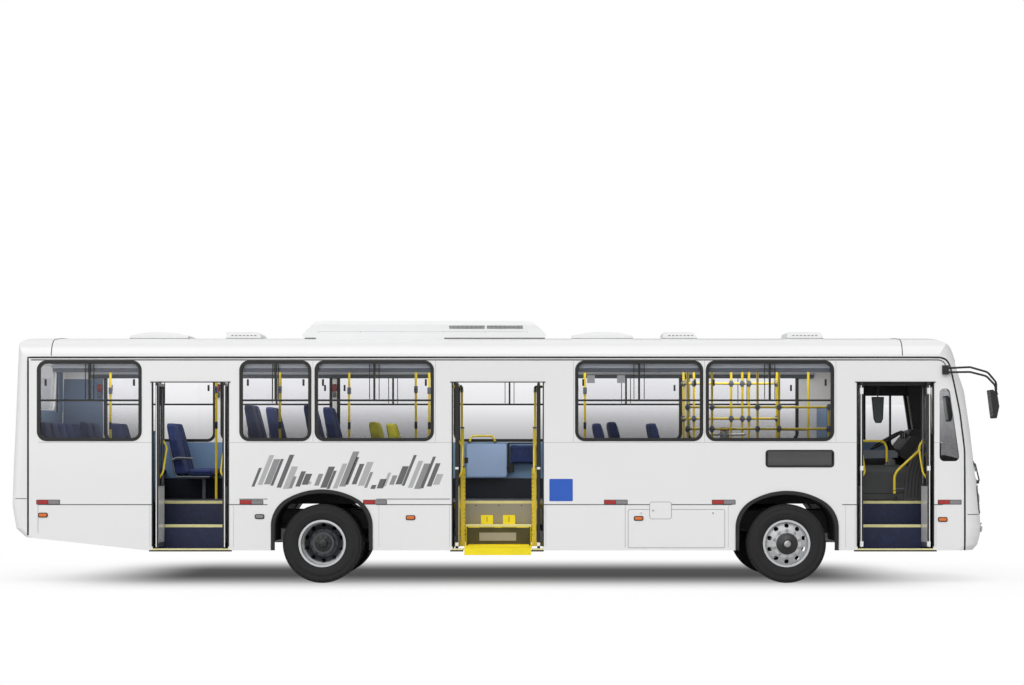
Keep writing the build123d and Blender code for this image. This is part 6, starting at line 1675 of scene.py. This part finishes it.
# %% Surface finder
SKIN_NODES = (
    "front_cap", "rear_cap", "bumpers", "right_side", "left_side", "end_windows", "roof", "headlamps",
    "tail_lamps",
)

BEYOND = 7.0  # a place on X ahead of the nose, where rays start


def skin_tree():
    """Search tree over the outside of the body."""
    bm = bmesh.new()
    for name in SKIN_NODES:
        bm.from_mesh(nodes[name].data)
    tree = BVHTree.FromBMesh(bm)
    bm.free()
    return tree


skin = skin_tree()


def land(point, direction, lift=0.0, reach=3.0):
    """Where a ray through point lands on the body, lifted back by a distance."""
    direction = Vector(direction).normalized()
    hit = skin.ray_cast(Vector(point) - direction * reach, direction, 2 * reach)[0]
    return hit - direction * lift if hit else None


def landed(points, direction, lift=0.0):
    """The points of a line that land on the body."""
    return [p for p in (land(point, direction, lift) for point in points) if p]


def rounded_line(points, radius):
    """Rounded path of flat (x, z) points."""
    return [(p[0], p[2]) for p in rounded_path([(x, 0, z) for x, z in points], radius)]


def chain(points, step):
    """Points along straight stretches, a step apart at most."""
    line = []
    for a, b in zip(points, points[1:]):
        count = 1 + max(1, math.ceil((Vector(b) - Vector(a)).length / step))
        line += between(a, b, count)[:-1]
    return line + [Vector(points[-1])]


# The dark joint runs up the rear corner, along the roof edge and down beside the windscreen
MAIN_JOINT = [(-6.058, 2.887), (5.610, 2.887), (5.690, 2.862), (5.741, 2.780), (5.863, 2.190),
              (5.924, 1.700), (5.924, 0.425)]
JOINT_FOOT = (-6.058, 0.0, 0.615)
GUTTER = [(-6.018, 2.856), (5.600, 2.856), (5.655, 2.832), (5.690, 2.770)]
ROOF_JOINTS = (-5.762, 5.126)

joint, gutter, seams = bmesh.new(), bmesh.new(), bmesh.new()
for side in (-1, 1):
    corners = [JOINT_FOOT] + [(x, 0, z) for x, z in rounded_line(MAIN_JOINT, 0.07)]
    add_tube(joint, landed(chain(corners, 0.05), (0, -side, 0), -0.006), 0.014, 8)
    corners = [(x, 0, z) for x, z in rounded_line(GUTTER, 0.05)]
    add_tube(gutter, landed(chain(corners, 0.15), (0, -side, 0), -0.003), 0.009, 8)
for x in ROOF_JOINTS:
    turns = [math.radians(14.0 + 152.0 * k / 70) for k in range(71)]
    rays = [land((x, 0, 2.6), (0, -math.cos(a), -math.sin(a)), -0.004) for a in turns]
    add_tube(seams, [p for p in rays if p], 0.008, 6)
for z, x in ((0.878, BEYOND), (1.081, -BEYOND)):
    line = landed(between((x, -1.02, z), (x, 1.02, z), 40), (-1 if x > 0 else 1, 0, 0), -0.001)
    add_tube(seams, line, 0.005, 6)
    for side in (-1, 1):
        a, b = (5.96, 6.14) if x > 0 else (-6.22, -6.075)
        line = landed(between((a, 0, z), (b, 0, z), 8), (0, -side, 0), -0.001)
        add_tube(seams, line, 0.0045, 6)
finished(joint, "cap_joints", "black_rubber")
finished(gutter, "gutter_lower_lines", "stripe_grey")
finished(seams, "roof_and_bumper_seams", "black_rubber")
bm = bmesh.new()
for side in (-1, 1):
    line = landed(between((-6.03, 0, 2.872), (5.62, 0, 2.872), 60), (0, -side, 0), 0.0)
    add_tube(bm, line, 0.0055, 8)
finished(bm, "gutter_beads", "white_paint")
bm = bmesh.new()
for k in range(13):
    z = 1.508 + 0.0142 * k
    add_box(bm, (3.405, 4.222), (-1.2490, -1.2440), (z, z + 0.0085))
finished(bm, "side_grille_slats", "stripe_grey")
print("joints, gutters and seams laid")

# %% [markdown]
# ## Front
# Behind the clear lenses sit two turned reflectors with a bulb in each and an amber turn lamp. Bright bars
# cross the grille slots. Two wipers park at the foot of the windscreen, fog lamps sit in the bumper, the
# number plate is blank and the destination display above is dark.

# %% Lamps, grille, wipers, display and plate
HEADLAMP_Z = 1.065
BOWL_R = 0.068
TURN_LAMP_Y = 1.0
FOG_Y, FOG_Z = 0.80, 0.70
GRILLE_Z = (0.930, 1.200)
GRILLE_HALF = 0.52
GRILLE_BARS = 6

bowl, bulb, amber, rims, surround = (bmesh.new() for _ in range(5))
for side in (-1, 1):
    for y, radius in ((0.735, BOWL_R), (0.895, BOWL_R)):
        x = land((BEYOND, side * y, HEADLAMP_Z), (-1, 0, 0)).x - 0.004
        add_turned(
            bowl, [(x, radius), (x - 0.008, radius * 0.96), (x - 0.028, radius * 0.55), (x - 0.030, 0.010)],
            (0, side * y, HEADLAMP_Z), axis="x", steps=32,
        )
        add_turned(
            bulb, [(x - 0.030, 0.012), (x - 0.010, 0.012), (x - 0.004, 0.006)], (0, side * y, HEADLAMP_Z),
            axis="x", steps=14,
        )
        add_turned(
            rims, [(x, radius * 1.08), (x + 0.003, radius * 1.05), (x + 0.003, radius), (x, radius)],
            (0, side * y, HEADLAMP_Z), axis="x", steps=32, loop=True,
        )
    x = land((BEYOND, side * TURN_LAMP_Y, 1.06), (-1, 0, 0)).x - 0.006
    add_turned(
        amber, [(x - 0.02, 0.036), (x, 0.034), (x + 0.004, 0.020)], (0, side * TURN_LAMP_Y, HEADLAMP_Z),
        axis="x",
        steps=24,
    )
    corners = [(BEYOND, side * y, z) for y, z in rounded_box_outline((0.615, 1.085), (0.895, 1.235), 0.06)]
    add_tube(surround, landed(chain(corners + corners[:1], 0.05), (-1, 0, 0), -0.002), 0.010, 8)
    x = land((BEYOND, side * FOG_Y, FOG_Z), (-1, 0, 0)).x
    add_turned(
        rims, [(x - 0.01, 0.062), (x + 0.008, 0.060), (x + 0.008, 0.050), (x - 0.01, 0.050)],
        (0, side * FOG_Y, FOG_Z), axis="x", steps=28, loop=True,
    )
    add_turned(
        bowl, [(x - 0.01, 0.050), (x + 0.002, 0.050), (x + 0.004, 0.030)], (0, side * FOG_Y, FOG_Z), axis="x",
        steps=28,
    )
finished(surround, "headlamp_surrounds", "black_rubber")
finished(bowl, "headlamp_bowls", "turnstile_steel")
finished(bulb, "headlamp_bulbs", "lamp_clear")
finished(amber, "turn_lamps", "lamp_amber")
finished(rims, "lamp_rims", "bright_trim")

bars = bmesh.new()
for k in range(GRILLE_BARS):
    z = GRILLE_Z[0] + (GRILLE_Z[1] - GRILLE_Z[0]) * k / (GRILLE_BARS - 1)
    line = landed(between((BEYOND, -GRILLE_HALF, z), (BEYOND, GRILLE_HALF, z), 16), (-1, 0, 0), 0.001)
    add_tube(bars, line, 0.0065, 8)
finished(bars, "grille_bars", "bright_trim")

arms, blades = bmesh.new(), bmesh.new()
for y0, y1 in ((-0.95, -0.10), (0.10, 0.95)):
    foot = land((BEYOND, y0 + 0.10, 1.290), (-1, 0, 0), 0.012)
    tip = land((BEYOND, (y0 + y1) / 2 + 0.06, 1.520), (-1, 0, 0), 0.035)
    add_tube(
        arms,
        rounded_path(
            [foot, foot + Vector((0.02, 0, 0.02)), foot.lerp(tip, 0.5) + Vector((0.012, 0, 0)), tip], 0.04
        ),
        0.009, 8,
    )
    add_turned(
        arms, [(foot.x - 0.03, 0.026), (foot.x + 0.010, 0.024), (foot.x + 0.018, 0.014)],
        (0, foot.y, foot.z), axis="x", steps=18,
    )
    line = landed(between((BEYOND, y0 + 0.08, 1.430), (BEYOND, y1 - 0.02, 1.600), 12), (-1, 0, 0), 0.012)
    add_tube(blades, line, 0.007, 6)
    add_tube(blades, [p + Vector((0.014, 0, 0)) for p in line[2:-2]], 0.006, 6)
finished(arms, "wiper_arms", "black_frame")
finished(blades, "wiper_blades", "black_rubber")

sign_low, sign_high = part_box("destination_sign")
bm = bmesh.new()
outline = rounded_box_outline((sign_low[1] + 0.03, sign_high[1] - 0.03), (2.585, 2.805), 0.02)
add_prism(bm, outline, sign_high[0] - 0.002, sign_high[0] + 0.003, axis="x")
finished(bm, "dark_display", "hub_black", bevel=0.002)
bm = bmesh.new()
rear_x = land((-BEYOND, 0, 0.80), (1, 0, 0)).x
front_x = land((BEYOND, 0, 0.76), (-1, 0, 0)).x
for x, z in ((front_x, 0.76), (rear_x, 0.80)):
    side = 1 if x > 0 else -1
    outline = rounded_box_outline((-0.21, 0.21), (z - 0.065, z + 0.065), 0.012)
    add_prism(bm, outline, x - side * 0.004, x + side * 0.014, axis="x")
finished(bm, "blank_plates", "stripe_pale", bevel=0.002)
print("front dressed")

# %% [markdown]
# ## Rear
# The tail has a hatch seam, a blank plate with its lamp, lamp clusters with ringed round lenses and a high
# brake lamp over the window.

# %% Tail lamps and hatch
TAIL_LAMP_Y = 1.045
HATCH_HALF, HATCH_Z = 0.78, (1.16, 1.84)

lens, ring, hatch, amber = (bmesh.new() for _ in range(4))
for side in (-1, 1):
    for z, target in ((1.175, lens), (1.300, amber), (1.425, lens)):
        x = land((-BEYOND, side * TAIL_LAMP_Y, z), (1, 0, 0)).x
        add_turned(
            target, [(x + 0.006, 0.050), (x - 0.006, 0.047), (x - 0.012, 0.030), (x - 0.013, 0.002)],
            (0, side * TAIL_LAMP_Y, z), axis="x", steps=28,
        )
        add_turned(
            ring, [(x + 0.004, 0.058), (x - 0.006, 0.056), (x - 0.006, 0.051), (x + 0.004, 0.051)],
            (0, side * TAIL_LAMP_Y, z), axis="x", steps=28, loop=True,
        )
x = land((-BEYOND, 0, 2.18), (1, 0, 0)).x
outline = rounded_box_outline((-0.16, 0.16), (2.165, 2.195), 0.012)
add_prism(lens, outline, x - 0.012, x + 0.004, axis="x")
finished(lens, "tail_lenses_red", "lamp_red", bevel=0.001)
finished(amber, "tail_lenses_amber", "lamp_amber", bevel=0.001)
finished(ring, "tail_lamp_rims", "bright_trim")
frame_line = [
    (-BEYOND, y * HATCH_HALF, HATCH_Z[k]) for y, k in ((-1, 0), (1, 0), (1, 1), (-1, 1), (-1, 0))
]
add_tube(hatch, landed(chain(frame_line, 0.06), (1, 0, 0), -0.0005), 0.004, 6)
for z in (1.24, 1.28, 1.32, 1.36, 1.40):
    add_tube(hatch, landed(between((-BEYOND, -0.45, z), (-BEYOND, 0.45, z), 10), (1, 0, 0), -0.002), 0.007, 6)
finished(hatch, "rear_hatch_seams", "stripe_grey")
bm = bmesh.new()
x = land((-BEYOND, 0, 0.90), (1, 0, 0)).x
add_box(bm, (x - 0.030, x + 0.004), (-0.16, 0.16), (0.885, 0.915))
add_box(bm, (x - 0.022, x + 0.004), (-0.06, 0.06), (1.690, 1.725))
finished(bm, "plate_lamp_and_hatch_handle", "black_plastic", bevel=0.006)
print("rear dressed")

# %% [markdown]
# ## Roof
# The air conditioner gets slatted side grilles, ring guards over its fans, a fine panel seam and a rubber
# foot. The domed hatches have a dark gasket, and the vents have small slots low on their sides.

# %% Roof unit, hatches and vents
AC_LOW, AC_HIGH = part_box("air_conditioner")
FANS = [(x, y) for x in (-2.100, -1.480, -0.600, 0.0) for y in (-0.400, 0.400)]
slats, guards, seams, gasket = (bmesh.new() for _ in range(4))
for side in (-1, 1):
    y = side * (AC_HIGH[1] - 0.012)
    for x0, x1 in ((-0.684, -0.226), (-0.195, 0.269)):
        for k in range(4):
            z = 3.277 + 0.0115 * k
            add_box(slats, (x0 + 0.002, x1 - 0.002), sorted((y, y + side * 0.010)), (z, z + 0.004))
        for k in range(9):
            x = x0 + (x1 - x0) * k / 8
            add_box(slats, (x - 0.002, x + 0.002), sorted((y, y + side * 0.008)), (3.274, 3.314))
    y = sorted((side * (AC_HIGH[1] + 0.001), side * (AC_HIGH[1] - 0.003)))
    add_box(seams, (-2.380, 0.323), y, (3.2375, 3.2400))
    for x in (-2.380, -1.837, -1.301, -0.760, -0.217, 0.323):
        add_box(seams, (x - 0.002, x + 0.002), y, (3.224, 3.246))
    for x0, x1 in ((AC_LOW[0] + 0.030, AC_LOW[0] + 0.175), (-0.75, AC_HIGH[0] - 0.012)):
        add_box(
            gasket, (x0, x1), sorted((side * (AC_HIGH[1] + 0.002), side * (AC_HIGH[1] - 0.010))),
            (3.146, 3.158),
        )
for x, y in FANS:
    top = AC_HIGH[2]
    for radius in (0.075, 0.105, 0.135, 0.165, 0.195, 0.225):
        circle = [
            (x + radius * math.cos(a * math.pi / 18), y + radius * math.sin(a * math.pi / 18), top - 0.004)
            for a in range(37)
        ]
        add_tube(guards, circle, 0.003, 5)
    for k in range(6):
        a = math.pi / 3 * k
        add_tube(
            guards,
            [
                (x + 0.06 * math.cos(a), y + 0.06 * math.sin(a), top - 0.006),
                (x + 0.232 * math.cos(a), y + 0.232 * math.sin(a), top - 0.006),
            ],
            0.004, 5,
        )
        blade = [(0.065, a), (0.205, a + 0.12), (0.205, a + 0.55), (0.065, a + 0.80)]
        add_prism(
            guards, [(x + r * math.cos(b), y + r * math.sin(b)) for r, b in blade], top - 0.028,
            top - 0.024, axis="z",
        )
finished(slats, "roof_unit_slats", "stripe_mid")
finished(guards, "fan_guards_and_blades", "clamp_grey")
finished(seams, "roof_unit_seams", "stripe_pale")

hatch_boxes = islands("roof_hatches")
for low, high in hatch_boxes:
    dome = high[0] - low[0] > 0.6
    for side in (-1, 1):
        y = sorted((side * (high[1] + 0.004), side * (high[1] - 0.010)))
        add_box(gasket, (low[0] + 0.004, high[0] - 0.004), y, (3.170, 3.181))
        if not dome:
            for k in range(7):
                x = low[0] + 0.07 + 0.05 * k
                add_box(
                    gasket, (x, x + 0.030), sorted((side * (high[1] + 0.0008), side * (high[1] - 0.004))),
                    (3.212, 3.220),
                )
    for x in (low[0], high[0]):
        add_box(gasket, (x - 0.003, x + 0.003), (low[1], high[1]), (3.172, 3.184))
finished(gasket, "roof_gaskets", "black_rubber")
print(len(FANS), "fans,", len(hatch_boxes), "hatches and vents")

# %% [markdown]
# ## Mirrors
# Each outside mirror has a glass set in the rear face of its head, a rubber lip, a ball joint where the
# arms meet it and a bolted foot on the body.

# %% Mirrors
glass, lip = bmesh.new(), bmesh.new()
GLASS_FACE = [(6.1790, 2.440), (6.2185, 2.128)]
for side in (-1, 1):
    (xa, za), (xb, zb) = GLASS_FACE
    middle = side * 1.500
    for target, grow, out in ((lip, 0.008, 0.0030), (glass, 0.0, 0.0055)):
        outline = [(xa, za + grow), (xb, zb - grow), (xb - out, zb - grow), (xa - out, za + grow)]
        add_prism(target, outline, middle - 0.098 - grow, middle + 0.098 + grow)
    add_turned(
        lip,
        [
            (middle - 0.020, 0.024), (middle - 0.014, 0.027), (middle + 0.014, 0.027),
            (middle + 0.020, 0.024),
        ],
        (6.266, 0, 2.415), steps=18,
    )
    for x, z in ((5.655, 2.70), (5.690, 2.70), (5.655, 2.755), (5.690, 2.755)):
        y = side * 1.290
        add_turned(
            lip, [(y, 0.008), (y + side * 0.005, 0.008), (y + side * 0.007, 0.005)], (x, 0, z), steps=6
        )
finished(lip, "mirror_lips_and_bolts", "black_rubber")
finished(glass, "mirror_glasses", "mirror_glass")
print("mirrors fitted")

# %% [markdown]
# ## Small cabin signs
# A red break-glass box hangs on three pillars of the left wall, each with a grey clamp under it, and two
# blank clear cards are stuck inside a window.

# %% Break-glass boxes and blank cards
red, grey = bmesh.new(), bmesh.new()
for x in (-5.625, -3.983, -2.361):
    add_box(red, (x - 0.030, x + 0.030), (1.150, 1.1935), (2.520, 2.620))
    add_box(grey, (x - 0.024, x + 0.024), (1.160, 1.1935), (2.440, 2.505))
finished(red, "break_glass_boxes", "turnstile_red", bevel=0.006)
finished(grey, "box_clamps", "clamp_grey", bevel=0.005)
bm = bmesh.new()
for x in (1.143, 1.527):
    add_box(bm, (x - 0.050, x + 0.050), (-1.2255, -1.2245), (2.560, 2.660))
finished(bm, "blank_cards", "stripe_pale")
print("small cabin signs placed")
